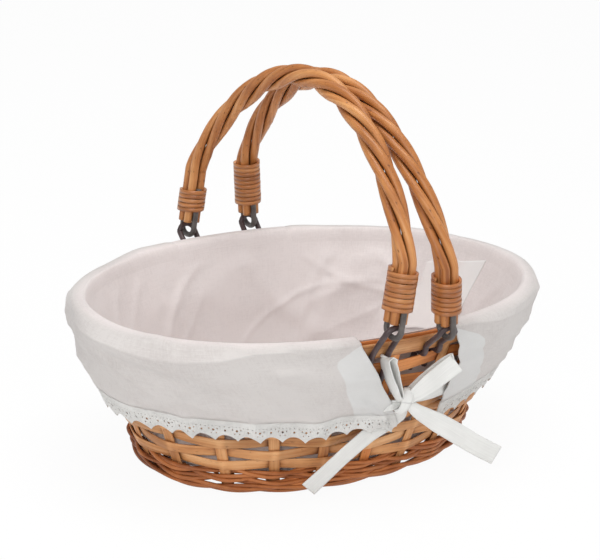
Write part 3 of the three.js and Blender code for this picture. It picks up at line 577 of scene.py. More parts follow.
CANE = wood("split_cane", rgb(250, 182, 116), rgb(230, 150, 84), rgb(176, 100, 50), 11.0,
            rough=(0.26, 0.4), coat=0.35, specks=0.4, grain=70.0, bump=0.25)
LOOP_TUBE = tube_plastic("loop_tube", rgb(64, 50, 51), rgb(88, 70, 70))
STIRRUP_TUBE = tube_plastic("stirrup_tube", rgb(78, 72, 70), rgb(104, 98, 94))
# the cotton inside the bag, painted lighter than the same cotton outside to make up for the shade inside the basket
INNER_PAINTED_LIGHTER = rgb(240, 232, 230), rgb(222, 213, 211)
COTTON = cloth("liner_cotton", rgb(224, 219, 216), rgb(200, 192, 189), slub=1.0, through=0.15, inner=INNER_PAINTED_LIGHTER)
BAG_COTTON = cloth("bag_cotton_painted_lighter", *INNER_PAINTED_LIGHTER, slub=1.0, through=0.15)
LABEL = cloth("label_weave", rgb(236, 231, 229), rgb(228, 222, 220), thread=0.3, slub=0.2)
LACE = lace_cloth("cotton_lace", rgb(226, 225, 222), rgb(208, 207, 204))
RIBBON = ribbon_cloth("white_ribbon", rgb(238, 238, 235), rgb(226, 226, 223))


def finish_piece(obj, material, body, nodes, extra=()):
    """Gives a piece its materials and its body, and hides the solids that it stands for."""
    for each in (material, *extra):
        obj.data.materials.append(each)
    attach(obj, body)
    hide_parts(*nodes)


# The wall: rows of flat weavers, rods and the hoops of the border

def stake_share(k):
    return k / STAKES


def is_long(k):
    quarter = STAKES // 4
    from_end = abs(((k + quarter) % (2 * quarter)) - quarter)
    return quarter - from_end > CROSS_EACH_SIDE


def woven_offset(shares, reach, is_out, flat=1.2):
    """In and out between the stakes: nearly straight runs, bent where they cross a stake. The second number is painted
    light: a painted highlight where the run passes over a stake, painted shade where it goes behind one.
    """
    spacing = ROUND / STAKES
    k = np.floor(shares * STAKES + 0.5).astype(int)
    d = (shares * STAKES - k) * spacing
    sign = np.where([is_out(int(i) % STAKES) for i in k], 1.0, -1.0)
    step = np.where(d < 0, -1, 1)
    other = np.where([is_out(int(i) % STAKES) for i in k + step], 1.0, -1.0)
    turn = np.clip((np.abs(d) - flat) / (spacing - 2 * flat), 0, 1)
    turn = turn * 0.75 + 0.25 * smooth(turn, 0, 1)
    # painted highlight on the run where it passes over a stake, painted shade where it passes behind one
    ridge = np.exp(-(d / 2.0) ** 2) * (sign > 0) * 0.75
    painted_hollow_shade = -smooth(9 - np.abs(d), 0, 6) * (sign < 0)
    return reach * (sign * (1 - turn) + other * turn), ridge + painted_hollow_shade


def bays(shares, seed):
    """One steady number, -1 to 1, for each run between two stakes."""
    values = np.random.default_rng(seed).uniform(-1, 1, STAKES)
    at = (shares * STAKES) % STAKES
    k = np.floor(at).astype(int)
    ease = smooth(at - k, 0.0, 0.12)
    return values[k - 1] * (1 - ease) + values[k] * ease


def weaver_heights():
    """Height and width of each row of weavers, from the top down. Two slots leave room for the tube loops."""
    top = UPPER_SLOT - SLOT_H / 2 - WEAVER_W / 2
    second = top - WEAVER_W - SLOT_H
    lower = second - WEAVER_W / 2 - SLOT_H / 2 - LOWER_W / 2
    return [(top, WEAVER_W), (second, WEAVER_W)] + [(lower - i * LOWER_PITCH, LOWER_W) for i in range(LOWER_ROWS)]


def make_weavers():
    rows = weaver_heights()
    splices = {2: 0.585, 3: 0.83, 4: 0.655, 5: 0.32, 6: 0.12}
    tints = [3, 3, 1, 0, 2, 1, 0, 2]
    for i, (z, width) in enumerate(rows):
        spliced, upper = i in splices, i < 2
        start = splices.get(i, 0.4)
        shares = start + np.linspace(0, 1.028 if spliced else 1.0, STAKES * 22, endpoint=spliced)
        round_share, from_start = shares % 1, (shares - start) * ROUND
        lap = 1.4 * (1 - smooth(from_start, 14, 34)) * spliced
        wander = (0.5 if upper else 1.3) * waves(round_share, 20 + i, 8, 3, 17)
        offset, tone = woven_offset(round_share, 1.95, lambda k, i=i: (k + i + 1) % 2 == 0)
        narrow = 1 + 0.07 * waves(round_share, 40 + i, 8, 2, 19)
        narrow *= 1 - 0.35 * (1 - smooth(from_start, 0, 16)) * spliced
        flat = np.array(band_section(width - (0.1 if upper else 0.6), WEAVER_T - 0.1))
        section = flat[None] * np.stack([narrow, np.ones_like(narrow)], -1)[:, None]
        path = wall_point(round_share, z + wander, offset + lap)
        tilt = 0.09 * waves(round_share, 45 + i, 8, 4, 20)
        side = wall_up(round_share, z) + wall_normal(round_share, z) * tilt[:, None]
        # the painted highlight and painted shade of the weave, with a steady random tone for each run and slow random
        # changes
        tone = tone + 0.32 * bays(round_share, 50 + i) + 0.2 * waves(round_share, 55 + i, 6, 4, 17)
        number = len(rows) - i
        obj = sweep(f"willow_weaver_{number}", path, side, section, closed=not spliced, tone=tone,
                    cap_slot=int(spliced))
        finish_piece(obj, WILLOW[tints[i]], "basket", [f"weaver_row_{number}"], [CUT_END] if spliced else [])
    return rows


def make_rods(rows):
    """Each rod low on the wall is drawn as two thin strands that cross each other as they go round."""
    z_low, width = rows[-1]
    top = z_low - width / 2 - ROD_GAP - WALL_ROD_D / 2
    shares = (np.arange(STAKES * 20) + 0.5) / (STAKES * 20)
    spread = 0.6 + 1.6 * smooth(shares, 0.78, 0.92)
    for i in range(WALL_RODS):
        z = top - (WALL_RODS - 1 - i) * ROD_PITCH
        out = (lambda k: True) if i == 0 else (lambda k, i=i: (k + i) % 2 == 0)
        for strand, (thick_mm, phase) in enumerate(((3.1, 0.0), (2.7, math.pi))):
            offset, tone = woven_offset(shares, 2.5 + 0.2 * strand, out, 3.0)
            turn = 2 * np.pi * (7 + i) * shares + phase + 1.3 * waves(shares, 60 + i, 4, 1, 5)
            height = z + 1.7 * np.cos(turn) + 0.6 * waves(shares, 80 + 4 * strand + i, 6, 3, 15)
            path = wall_point(shares, height, offset + 1.1 * np.sin(turn) + spread)
            thick = 1 + 0.12 * waves(shares, 70 + i + 9 * strand, 6, 3, 12)
            section = round_section(thick_mm, 9)[None] * thick[:, None, None]
            # half of the painted highlight and painted shade of the weave, with a steady random tone for each run
            tone = 0.5 * tone + 0.45 * bays((shares + 0.013 * i + 0.02 * strand) % 1, 90 + i + 5 * strand)
            obj = sweep(f"willow_rod_{i + 1}_{'ab'[strand]}", path, wall_up(shares, z), section, closed=True, tone=tone)
            finish_piece(obj, BASKET_ROD, "basket", [f"wall_rod_{i + 1}"])


def make_hoops():
    for name, direction, material in (("outer", 1, WILLOW[1]), ("inner", -1, WILLOW[3])):
        shares = (np.arange(320) + 0.5) / 320
        z = WALL_H - HOOP_W / 2
        offset = direction * (SLAT_T / 2 + CLEAR + HOOP_T / 2)
        path = wall_point(shares, z, offset)
        profile = band_section(HOOP_W, HOOP_T - 0.3, crown=0.5, sides=6)
        tone = 0.4 * waves(shares, 95 + direction, 6, 2, 14)
        obj = sweep(f"willow_hoop_{name}", path, wall_up(shares, z), profile, closed=True, tone=tone)
        finish_piece(obj, material, "basket", [f"border_hoop_{name}"])


def slat_line(edge, long, part):
    """Where a slat lies on the base: part is 0 in the middle and 1 at its edge."""
    shrink = 1 - SLAT_BOW[long] * (1 - part * part)
    return edge[0] * (part if long else shrink), edge[1] * (shrink if long else part)


def slat_half(share, long):
    """From the middle of the base over the corner to the top of the stake."""
    level = SLAT_LEVEL[long]
    edge = wall_point(share, level, 0)

    def plan(part):
        return np.array([*slat_line(edge, long, part), level])

    inset = CORNER / math.hypot(edge[0], edge[1])
    start, wall_start = plan(1 - inset), wall_point(share, level + CORNER, 0)
    base_side = np.array([0.0, 1, 0] if long else [1.0, 0, 0])
    tangent = unit(wall_point(share + 1e-4, level, 0) - wall_point(share - 1e-4, level, 0))
    if np.dot(tangent, base_side) < 0:
        tangent = -tangent
    points = [(plan(p * (1 - inset)), base_side) for p in np.linspace(0.08, 0.94, 12)]
    for p in np.linspace(0, 1, 9):
        point = start * (1 - p) ** 2 + edge * 2 * p * (1 - p) + wall_start * p * p
        points.append((point, base_side * (1 - p) + tangent * p))
    for z in np.linspace(level + CORNER + 4, WALL_H - 2, 24):
        points.append((wall_point(share, z, 0), tangent))
    return points


def make_slats():
    numbers = {True: 0, False: 0}
    for k in range(STAKES):
        share, long = stake_share(k), is_long(k)
        if (math.cos if long else math.sin)(2 * math.pi * share) <= (0 if long else 1e-9):
            continue
        numbers[long] += 1
        other = 0.5 - share if long else -share
        points = slat_half(share, long)[::-1] + slat_half(other, long)
        path, side = (np.array(values) for values in zip(*points))
        profile = band_section(SLAT_W, SLAT_T - 0.1, crown=0.3)
        name = "long" if long else "cross"
        obj = sweep(f"willow_{name}_stake_{numbers[long]}", path, side, profile, cap_slot=1)
        finish_piece(obj, WILLOW[(k * 3) % 4], "basket", [f"{name}_slat_{numbers[long]}"], [CUT_END])


def make_base():
    for i, inset in enumerate(BASE_ROD_INSETS):
        a, b = BASE_A - inset, BASE_B - inset
        reach = SLAT_T / 2 + CLEAR + BASE_ROD_D / 2
        marks = []
        for k in range(STAKES):
            long = is_long(k)
            level = SLAT_LEVEL[long]
            x, y = slat_line(wall_point(stake_share(k), level, 0), long, np.linspace(0, 1, 2001))
            inside = (np.abs(x / a) ** OVAL_POWER + np.abs(y / b) ** OVAL_POWER) < 1
            at = np.nonzero(inside)[0].max()
            angle = math.atan2(np.sign(y[at]) * abs(y[at] / b) ** (OVAL_POWER / 2),
                               np.sign(x[at]) * abs(x[at] / a) ** (OVAL_POWER / 2)) % (2 * math.pi)
            marks.append((angle, level + (reach if (k + i) % 2 == 0 else -reach)))
        marks.sort()
        angles, levels = np.array(marks).T
        t = np.linspace(0, 2 * math.pi, 320, endpoint=False)
        wide = np.r_[angles - 2 * math.pi, angles, angles + 2 * math.pi]
        high = np.r_[levels, levels, levels]
        index = np.searchsorted(wide, t) - 1
        part = (t - wide[index]) / (wide[index + 1] - wide[index])
        ease = smooth(part, 0.22, 0.78)
        z = high[index] * (1 - ease) + high[index + 1] * ease
        fx, fy = oval_unit(t)
        path = np.stack([fx * a, fy * b, z], -1)
        obj = sweep(f"base_rod_{i + 1}_willow", path, UP, round_section(2.7, 8), closed=True)
        finish_piece(obj, BASKET_ROD, "basket", [f"base_rod_{i + 1}"])
    shares = (np.arange(360) + 0.5) / 360
    for strand in range(2):
        turn = 2 * np.pi * 8.0 * shares + strand * math.pi + 1.6 * waves(shares, 15, 4, 1, 4)
        thick = 3.5 + 0.4 * waves(shares, 5 + strand, 6, 3, 12)
        low = thick / 2 + 0.05 + 1.5 * (1 + np.cos(turn))
        out = 1.0 + 1.6 * np.sin(turn) + 1.2 * smooth(shares, 0.78, 0.92)
        path = level_point(shares, low, out - 1.5)
        section = round_section(1.0, 10)[None] * thick[:, None, None]
        tone = 0.4 * bays(shares, 120 + strand) + 0.25 * np.cos(turn + math.pi)
        obj = sweep(f"foot_rod_willow_{'ab'[strand]}", path, UP, section, closed=True, tone=tone)
        finish_piece(obj, BASKET_ROD, "basket", ["foot_rod"])


# Handles

def handle_frame(name):
    """The middle of the hinge line, the directions across, along and up, and half the span."""
    (front_x, front_z), (back_x, back_z) = HINGES[f"{name}_front"], HINGES[f"{name}_back"]
    front, back = np.array([front_x, -HINGE_Y, front_z]), np.array([back_x, HINGE_Y, back_z])
    axis = unit(back - front)
    up = unit(UP - axis * axis[2])
    lean = LEAN if name == "left" else -LEAN
    up = up * math.cos(lean) + np.cross(axis, up) * math.sin(lean)
    across = np.cross(axis, up)
    return (front + back) / 2, np.stack([across, axis, up], 1), np.linalg.norm(back - front) / 2


def arch_line(half_span, count):
    angle = np.linspace(0, np.pi, 1201)
    rise = np.sin(angle) ** ARCH_POWER * (HANDLE_H - HANDLE_LEG)
    line = np.stack([np.zeros_like(angle), half_span * np.cos(angle), HANDLE_LEG + rise], -1)
    line = np.vstack([[0, half_span, ROD_END], line, [0, -half_span, ROD_END]])
    length = distances(line)
    leg = HANDLE_LEG - ROD_END
    at = np.r_[np.linspace(0, leg, 14, endpoint=False),
               np.linspace(leg, length[-1] - leg, count),
               np.linspace(length[-1] - leg, length[-1], 15)[1:]]
    line = np.stack([np.interp(at, length, line[:, k]) for k in range(3)], -1)
    part = np.clip((at - leg) / (length[-1] - 2 * leg), 0, 1)
    return line, part, at


def make_handle(name):
    centre, basis, half_span = handle_frame(name)
    body = f"{name}_handle"
    line, part, at = arch_line(half_span, 200)

    def place(p):
        return p @ basis.T + centre

    tangent = unit(np.gradient(line, axis=0))
    flat = np.array([1.0, 0, 0])
    outwards = np.cross(np.broadcast_to(flat, tangent.shape), tangent)
    from_end = np.minimum(at, at[-1] - at)
    free = smooth(from_end, 5, 20)
    for i in range(4):
        eased = part - TWIST_GATHER * np.sin(2 * np.pi * part) / (2 * np.pi)
        angle = (i + 0.5) / 4 * 2 * np.pi + eased * HANDLE_TURNS * 2 * np.pi
        arm = outwards * np.cos(angle)[:, None] - flat * np.sin(angle)[:, None]
        path = line + arm * ROD_CIRCLE
        seed = 100 + 10 * i + (0 if name == "left" else 5)
        bump = np.zeros(len(at))
        for spot in np.random.default_rng(seed).uniform(30, at[-1] - 30, 5):
            bump += np.exp(-((at - spot) / 3.0) ** 2) * 0.05
        thick = 1 + (0.03 * waves(at / at[-1], seed, 5, 2, 9) + bump) * free - 0.02 * (1 - free)
        section = round_section(ROD_D, 14)[None] * thick[:, None, None]
        # painted shade on the side of each rod that faces the middle of the bundle, where the rods touch, over tone
        # that differs at random
        facing = np.cos((np.arange(14) + 0.5) / 14 * 2 * np.pi)
        tone = 0.25 * waves(at / at[-1], seed + 3, 6, 2, 14)[:, None] - smooth(-facing, -0.15, 0.75)[None, :]
        obj = sweep(f"{name}_twisted_rod_{i + 1}", place(path), arm @ basis.T, section,
                    cap_slot=1, cap_bulge=0.1, tone=tone)
        finish_piece(obj, HANDLE_WOOD[i % 2], body, [f"{name}_handle_rod_{i + 1}"], [CUT_END])
    for end in ("front", "back"):
        make_foot(name, end, place, basis, half_span, body)


def make_foot(name, end, place, basis, half_span, body):
    y0 = -half_span if end == "front" else half_span
    key = f"{name}_{end}"
    arc = [(0, STIRRUP_HALF * math.cos(a),
            STIRRUP_HALF * 0.75 - STIRRUP_DROP - math.sin(a) * STIRRUP_HALF * 0.75)
           for a in np.linspace(0, math.pi, 13)]
    points = ([(0, STIRRUP_HALF, STIRRUP_LEG), (0, STIRRUP_HALF, 22), (0, STIRRUP_HALF, ROD_END + 1)] + arc
              + [(0, -STIRRUP_HALF, ROD_END + 1), (0, -STIRRUP_HALF, 22), (0, -STIRRUP_HALF, STIRRUP_LEG)])
    path = smooth_path(points, 72) + np.array([0, y0, 0])
    obj = sweep(f"{key}_stirrup_tube", place(path), np.array([1.0, 0, 0]) @ basis.T,
                round_section(LOOP_D, 14), cap_bulge=0.5)
    finish_piece(obj, STIRRUP_TUBE, body, [f"{key}_stirrup"])

    turns = BINDING_TURNS[key]
    reach_y = STIRRUP_HALF + LOOP_D / 2 + 0.9
    reach_x = ROD_CIRCLE + ROD_D / 2 + 0.9
    t = np.linspace(0, turns, int(turns * 40) + 1)
    a = t * 2 * np.pi
    ragged = 0.35 * waves(t / (turns + 1), 300 + len(key), 6, 2, 11) + 0.5 * np.sin(a + len(key))
    loose = 1 + 0.035 * waves(t / (turns + 1), 320 + len(key), 8, 4, 22)
    path = np.stack([reach_x * loose * np.cos(a), y0 + reach_y * loose * np.sin(a),
                     BINDING_START + 1.45 + t * 3.4 + ragged], -1)
    half = [(1.5, -0.7), (1.45, 0.1), (1.15, 0.75), (0.45, 1.15)]
    profile = [(-x, y) for x, y in half] + half[::-1]
    # painted shade on both sides of each turn, where the turns meet, and a painted highlight along its crown
    painted_turn_light = np.array([-0.8, -0.6, 0.0, 0.35, 0.35, 0.0, -0.6, -0.8])
    tone = painted_turn_light + 0.35 * waves(t / (turns + 1), 340, 6, 2, 15)[:, None]
    obj = sweep(f"{key}_cane_binding", place(path), basis[:, 2], profile, cap_slot=1, tone=tone)
    finish_piece(obj, CANE, body, [f"{key}_binding"], [CUT_END])


def make_basket_loops():
    lower_slot = UPPER_SLOT - SLOT_H - WEAVER_W
    for key, (x, z) in HINGES.items():
        front = key.endswith("front")
        slot_z = lower_slot if key == "left_front" else UPPER_SLOT
        sign = -1 if front else 1
        eye = np.array([x, sign * HINGE_Y, z])
        outside = SLAT_T / 2 + CLEAR + HOOP_T + CLEAR + LOOP_D / 2
        inside = -(SLAT_T / 2 + CLEAR + WEAVER_T + CLEAR + LOOP_D / 2)
        seat = WALL_H - HOOP_W / 2

        def at(leg_x, height, offset):
            point = wall_point(share_of_x(leg_x, height, front), height, offset)
            return (leg_x, point[1], point[2])

        def leg(s):
            lx = x + s * EYE_R
            middle = (inside + outside) / 2
            heights = [(slot_z - 18, inside), (slot_z - 8, inside), (slot_z - 1.5, inside + 0.6), (slot_z, middle),
                       (slot_z + 1.5, outside - 0.6), ((slot_z + seat) / 2 + 1, outside), (seat, outside)]
            return [at(lx, height, offset) for height, offset in heights]

        rise = np.array([0, sign * math.sin(EYE_TILT), math.cos(EYE_TILT)])
        arc = [eye + np.array([EYE_R, 0, 0]) * math.cos(a) + rise * EYE_R * math.sin(a)
               for a in np.linspace(math.pi, 0, 11)]
        path = smooth_path(leg(-1) + [tuple(p) for p in arc] + leg(1)[::-1], 130)
        sides = carried_frames(path, (1, 0.2, 0))
        obj = sweep(f"{key}_loop_tube", path, sides, round_section(LOOP_D, 14), cap_bulge=0.5)
        finish_piece(obj, LOOP_TUBE, "basket", [f"{key}_basket_loop"])


# Cloth

def folds(s, z, seed, count, width, height, signs, span_z=(0, WALL_H), lean=(0.2, 1.2)):
    """Soft creases: each a ridge along a slanting line, fading at both ends. s is in millimetres round the rim."""
    rng = np.random.default_rng(seed)
    total = np.zeros(np.broadcast(s, z).shape)
    for _ in range(count):
        s0, z0 = rng.uniform(0, ROUND), rng.uniform(*span_z)
        tilt = rng.uniform(*lean) * rng.choice(signs)
        long = rng.uniform(35, 90)
        wide = width * rng.uniform(0.6, 1.6)
        ds = (s - s0 + ROUND / 2) % ROUND - ROUND / 2
        dz = z - z0
        along = ds * math.cos(tilt) + dz * math.sin(tilt)
        over = -ds * math.sin(tilt) + dz * math.cos(tilt)
        over = over + 0.004 * along ** 2 * rng.choice([-1, 1])
        total += height * rng.uniform(0.4, 1) * np.exp(-(over / wide) ** 2) * np.exp(-(along / long) ** 2)
    return total


def kinks(share, seed, step):
    """Straight runs between random heights, -1 to 1, about every step millimetres round the rim."""
    rng = np.random.default_rng(seed)
    count = int(ROUND / step)
    places = (np.arange(count) + rng.uniform(-0.3, 0.3, count)) / count
    heights = rng.uniform(-1, 1, count)
    places = np.r_[places[-1] - 1, places, places[0] + 1]
    heights = np.r_[heights[-1], heights, heights[0]]
    fine = np.interp((np.arange(1200) / 1200), places, heights)
    soft = np.convolve(np.r_[fine[-2:], fine, fine[:2]], np.ones(5) / 5, "valid")
    return np.interp(share % 1.0, np.arange(1201) / 1200, np.r_[soft, soft[0]])


def creases(share, seed):
    """How far the crease of the skirt drops below the rim, and how far out it lies."""
    places = [0, 0.06, 0.14, 0.3, 0.4, 0.5, 0.545, 0.58, 0.62, 0.66, 0.70, 0.86, 0.93, 1]
    drops = [6, 7, 4, 3, 5, 7, 9.5, 9.0, 5, 2.0, 1.0, 3, 5, 6]
    outs = [11.0, 10.5, 9, 8.5, 10.0, 12, 12.5, 11.5, 9.0, 6.5, 5.5, 8, 10, 11.0]
    lively = 0.7 + 0.6 * smooth(np.cos(2 * np.pi * (share - 0.55)), -0.2, 0.8)
    drop = np.interp(share % 1.0, places, drops) + 4.6 * lively * kinks(share, seed, 30)
    out = np.interp(share % 1.0, places, outs) + 3.8 * lively * kinks(share, seed + 5, 34)
    return np.maximum(drop, 0.3), np.maximum(out, 4.8)


def cover_of(share):
    """Two numbers, 0 to 1: where a skirt covers the rim, and where the bag does so in the gap at the back."""
    def inside(start, stop):
        length = (stop - start) % 1.0
        along = (share - start) % 1.0
        away = np.where(along < length, np.minimum(along, length - along), 0.0) * ROUND
        return smooth(away, 0, 6)
    left, right = flap_span("left", WALL_H), flap_span("right", WALL_H)
    covered = np.maximum(inside(*left), inside(*right))
    return covered, inside(right[1] - 0.013, left[0] + 0.013)


def set_tone(obj, values, name="tone"):
    layer = obj.data.attributes.new(name, "FLOAT", "POINT")
    filled = np.zeros(len(obj.data.vertices))
    filled[:np.size(values)] = np.ravel(values)
    layer.data.foreach_set("value", filled)


def thicken(obj, thickness):
    """Cloth has two sides: a thin shell, applied to the mesh. The faces of its cut edges stay flat."""
    sides = 2 * len(obj.data.polygons)
    modifier = obj.modifiers.new("cloth", "SOLIDIFY")
    modifier.thickness = thickness * MM
    modifier.offset = 0
    bpy.context.view_layer.update()
    depsgraph = bpy.context.evaluated_depsgraph_get()
    mesh = bpy.data.meshes.new_from_object(obj.evaluated_get(depsgraph))
    obj.modifiers.clear()
    old = obj.data
    obj.data = mesh
    bpy.data.meshes.remove(old)
    mesh.polygons.foreach_set("use_smooth", [i < sides for i in range(len(mesh.polygons))])


def area_of(pts, closed=False):
    """In square metres."""
    p = np.vstack([pts, pts[:1]]) if closed else pts
    a, b = p[1:, :-1] - p[:-1, :-1], p[:-1, 1:] - p[:-1, :-1]
    return float(np.linalg.norm(np.cross(a, b), axis=-1).sum()) * MM * MM


def make_bag():
    columns = 420
    share = np.arange(columns) / columns
    floor = LONG_LEVEL + SLAT_T / 2 + BASE_ROD_D + 2 * CLEAR + BAG_T / 2
    rows = []
    edge = level_point(share, floor, -BAG_INSET)
    for part in np.linspace(0.02, 1, 30):
        puff = 0.8 * waves(share, 7, 5, 1, 5) * part * (1 - part) * 4
        row = edge * part
        row[:, 2] = floor + puff + 0.6
        rows.append(row)
    for angle in np.linspace(0.15, 1, 6) * math.pi / 2:
        height = floor + 0.6 + BAG_CORNER * (1 - math.cos(angle))
        rows.append(level_point(share, height, BAG_CORNER * math.sin(angle) - BAG_INSET))
    s = share * ROUND
    near_label = np.exp(-(((s - LABEL_AT * ROUND + ROUND / 2) % ROUND - ROUND / 2) / 34) ** 4)
    covered, back_gap = cover_of(share)
    for z in np.linspace(floor + 9, 118, 50):
        fade = smooth(z, floor + 8, floor + 30) * (1 - smooth(z, 104, 116)) * (1 - 0.9 * near_label)
        push = (folds(s, z, 11, 30, 8.0, 2.2, (-1, -1, -1, 1))
                + folds(s, z, 12, 50, 2.8, 1.6, (-1, -1, 1)))
        slack = 3.8 * smooth(z, 18, 26) * (1 - smooth(z, 52, 92))
        rows.append(level_point(share, z, BAG_LINE + slack - push * fade))
    behind = [(-8.3, 119.5), (-8.0, 120.5), (-7.7, 121.5), (-7.6, 122.5), (-7.6, 123.2), (-7.6, 123.8), (-7.6, 124.3),
              (-7.6, 124.7)]
    free = [(BAG_LINE, z) for _, z in behind]
    over = [(-8.5, 121), (-8.6, 124.5), (-8.4, 126.6), (-7.8, 128.0), (-6.4, 128.8), (-3.5, 128.8), (-0.5, 128.4),
            (2.3, 127.2)]
    for one, two, three in zip(behind, free, over):
        mixed = [(1 - back_gap) * (covered * one[k] + (1 - covered) * two[k]) + back_gap * three[k] for k in (0, 1)]
        rows.append(level_point(share, mixed[1], mixed[0]))
    pts = np.stack(rows, 1)
    obj = grid_object("cotton_bag", pts, closed=True)
    thicken(obj, CLOTH_T)
    finish_piece(obj, BAG_COTTON, "basket", ["liner_bag"])
    min(area_of(pts, True), BAG_FLAT[0] * BAG_FLAT[1])


def flap_span(side, z):
    """From where to where round the rim a skirt goes at height z."""
    part = (WALL_H - z) / (WALL_H - HEM_Z)
    level = float(np.clip(z, HEM_Z, WALL_H))
    front_x, back_x = [x0 + (x1 - x0) * part for x0, x1 in (FLAPS[side]["front"], FLAPS[side]["back"])]
    front, back = share_of_x(front_x, level, True), share_of_x(back_x, level, False)
    return (back, front) if side == "left" else (front - 1, back)


def skirt_profile(drop, tight, out, rise, sink):
    """The section over the rim: drop and out place the crease, tight is 1 beside the handles, sink tucks an end in."""
    crease_out = out * (1 - tight) + 4.6 * tight
    crease_z = WALL_H - drop * (1 - tight) + 0.3 * tight
    over_rim = [(-7.2, 110), (-7.8, 114), (-8.4, 118), (-8.65, 121.5), (-8.7, 124.5), (-8.5, 126.8), (-7.8, 128.3),
                (-6.2, 128.9), (-3.2, 128.8), (0.2, 128.3), (3.3, 127.6)]
    points = [(off + sink * (off < -3.3),
               z + rise * smooth(off, -8.6, -5) * (1 - tight) - sink * smooth(z, 124, 128.5)) for off, z in over_rim]
    start_z = points[-1][1]
    for t in (0.25, 0.5, 0.75, 0.9, 1.0):
        points.append((3.3 + (crease_out - 3.3) * t, start_z + (crease_z - start_z) * t ** (1.1 + 0.5 * tight)))
    for t in (0.02, 0.07, 0.15, 0.23, 0.31, 0.39, 0.47, 0.55, 0.63, 0.71, 0.79, 0.87, 0.94, 1.0):
        z = crease_z + (HEM_Z - crease_z) * t
        points.append((crease_out + (9.9 - crease_out) * smooth(t, 0, 0.3) - 1.4 * smooth(t, 0.5, 1), z))
    return points


def make_skirt(side):
    behind_rows, rim_rows, first_outside = 4, 11, 15
    columns = 380
    u = np.arange(columns + 1) / columns
    end = np.minimum(u, 1 - u) * ROUND / 2
    tight = 1 - smooth(end, 12, 50)
    top_start, top_stop = flap_span(side, WALL_H)
    middle = top_start + (top_stop - top_start) * u
    drop, out = creases(middle, 31 if side == "left" else 32)
    from_back = (u if side == "left" else 1 - u) * ROUND / 2
    if side == "left":
        under_rods = 3.3 * smooth(from_back, 30, 80) * (1 - smooth(from_back, 215, 265))
        rise = np.minimum(2.4 * kinks(middle, 33, 18), 0.9 - under_rods)
    else:
        rise = kinks(middle, 36, 18) - 1.3
    sink = 1.3 * (1 - smooth(from_back, 2, 13))
    profile = np.array([skirt_profile(*values) for values in zip(drop, tight, out, rise, sink)])
    off, z = profile[..., 0], profile[..., 1]
    levels = np.linspace(HEM_Z, WALL_H, 60)
    spans = np.array([flap_span(side, float(h)) for h in levels])
    start, stop = (np.interp(z, levels, spans[:, k]) for k in (0, 1))
    rows = np.arange(z.shape[1])
    start[:, :behind_rows], stop[:, :behind_rows] = spans[-1]
    share = start + (stop - start) * u[:, None]
    s = (share % 1) * ROUND
    outside = (rows >= first_outside) + 0 * z
    loose = smooth(121 - z, 0, 14) * outside
    push = (folds(s, z, 23, 34, 5.0, 5.0, (-1, -1, -1, 1), (62, 120), (0.05, 0.5))
            + folds(s, z, 24, 54, 2.2, 2.6, (-1, -1, 1), (66, 124), (0.1, 0.7)))
    away = np.minimum(u, 1 - u)[:, None] * (stop - start) * ROUND
    wide = 23 * np.clip((127 - z) / 12, 0, 1) + 7 * smooth(112 - z, 0, 45)
    off = off - 0.5 * loose + push * loose * 0.8 + 0.35 * smooth(wide - away, -2, 2) * outside
    # where the bag's painted-lighter colours take over on the skirt, from the inside of the rim toward its top
    inner = smooth(3.3 - off, 0, 10.5) * (rows < rim_rows)
    doubled = np.where(outside > 0, np.clip((wide - away) / 6, -1, 1), -1)
    for at_end, toward in ((u, -8.0 if side == "right" else -5.0), (1 - u, 5.0)):
        pull = np.exp(-(at_end[:, None] * ROUND / 2 / 22) ** 2) * smooth(WALL_H - z, 26, 57) * outside
        z = z - 6.0 * pull
        share = share + toward / ROUND * pull
    pts = level_point(share, z, off)
    obj = grid_object(f"cotton_skirt_{side}", pts)
    set_tone(obj, doubled)
    set_tone(obj, inner, "inner")
    thicken(obj, CLOTH_T)
    finish_piece(obj, COTTON, "basket", [f"liner_skirt_{side}"])
    flat = (ROUND / 2 * MM, SKIRT_FALL)
    min(area_of(pts), flat[0] * flat[1])
    make_lace(side, np.stack([share, z, off], -1)[:, -1])


def lace_pattern(u, v, scallops):
    """More than 0 where there is thread. u counts scallops along the hem, v is down from the seam in millimetres."""
    x = (u - np.floor(u) - 0.5) * SCALLOP
    edge = 19.6 - 5.6 * np.abs(np.sin(np.pi * (u - 0.5))) ** 0.75
    from_end = np.minimum(u, scallops - u) * SCALLOP
    corner = 9.5 - np.clip(from_end, 0, 9.5)
    edge = np.minimum(edge, 9.5 + np.sqrt(np.maximum(9.5 ** 2 - corner ** 2, 0)))
    value = edge - v
    to_next = SCALLOP / 2 - np.abs(x)
    plain = from_end < 6
    # how far from the middle and how far down each hole or pair of holes is, and its half sizes
    in_scallop = [(0, 9.8, 0.9, 1.1), (3.0, 8.8, 0.5, 0.9), (1.9, 12.6, 0.45, 0.7), (0, 6.0, 0.6, 0.45),
                  (2.6, 5.9, 0.5, 0.4), (5.2, 6.6, 0.45, 0.55)]
    between = [(0, 10.0, 0.8, 1.1), (0, 6.4, 0.6, 0.5)]
    for place, holes in ((np.abs(x), in_scallop), (to_next, between)):
        for hx, hv, rx, rv in holes:
            cut = (np.hypot((place - hx) / rx, (v - hv) / rv) - 1) * 0.6
            value = np.minimum(value, np.where(plain, value, cut))
    return value


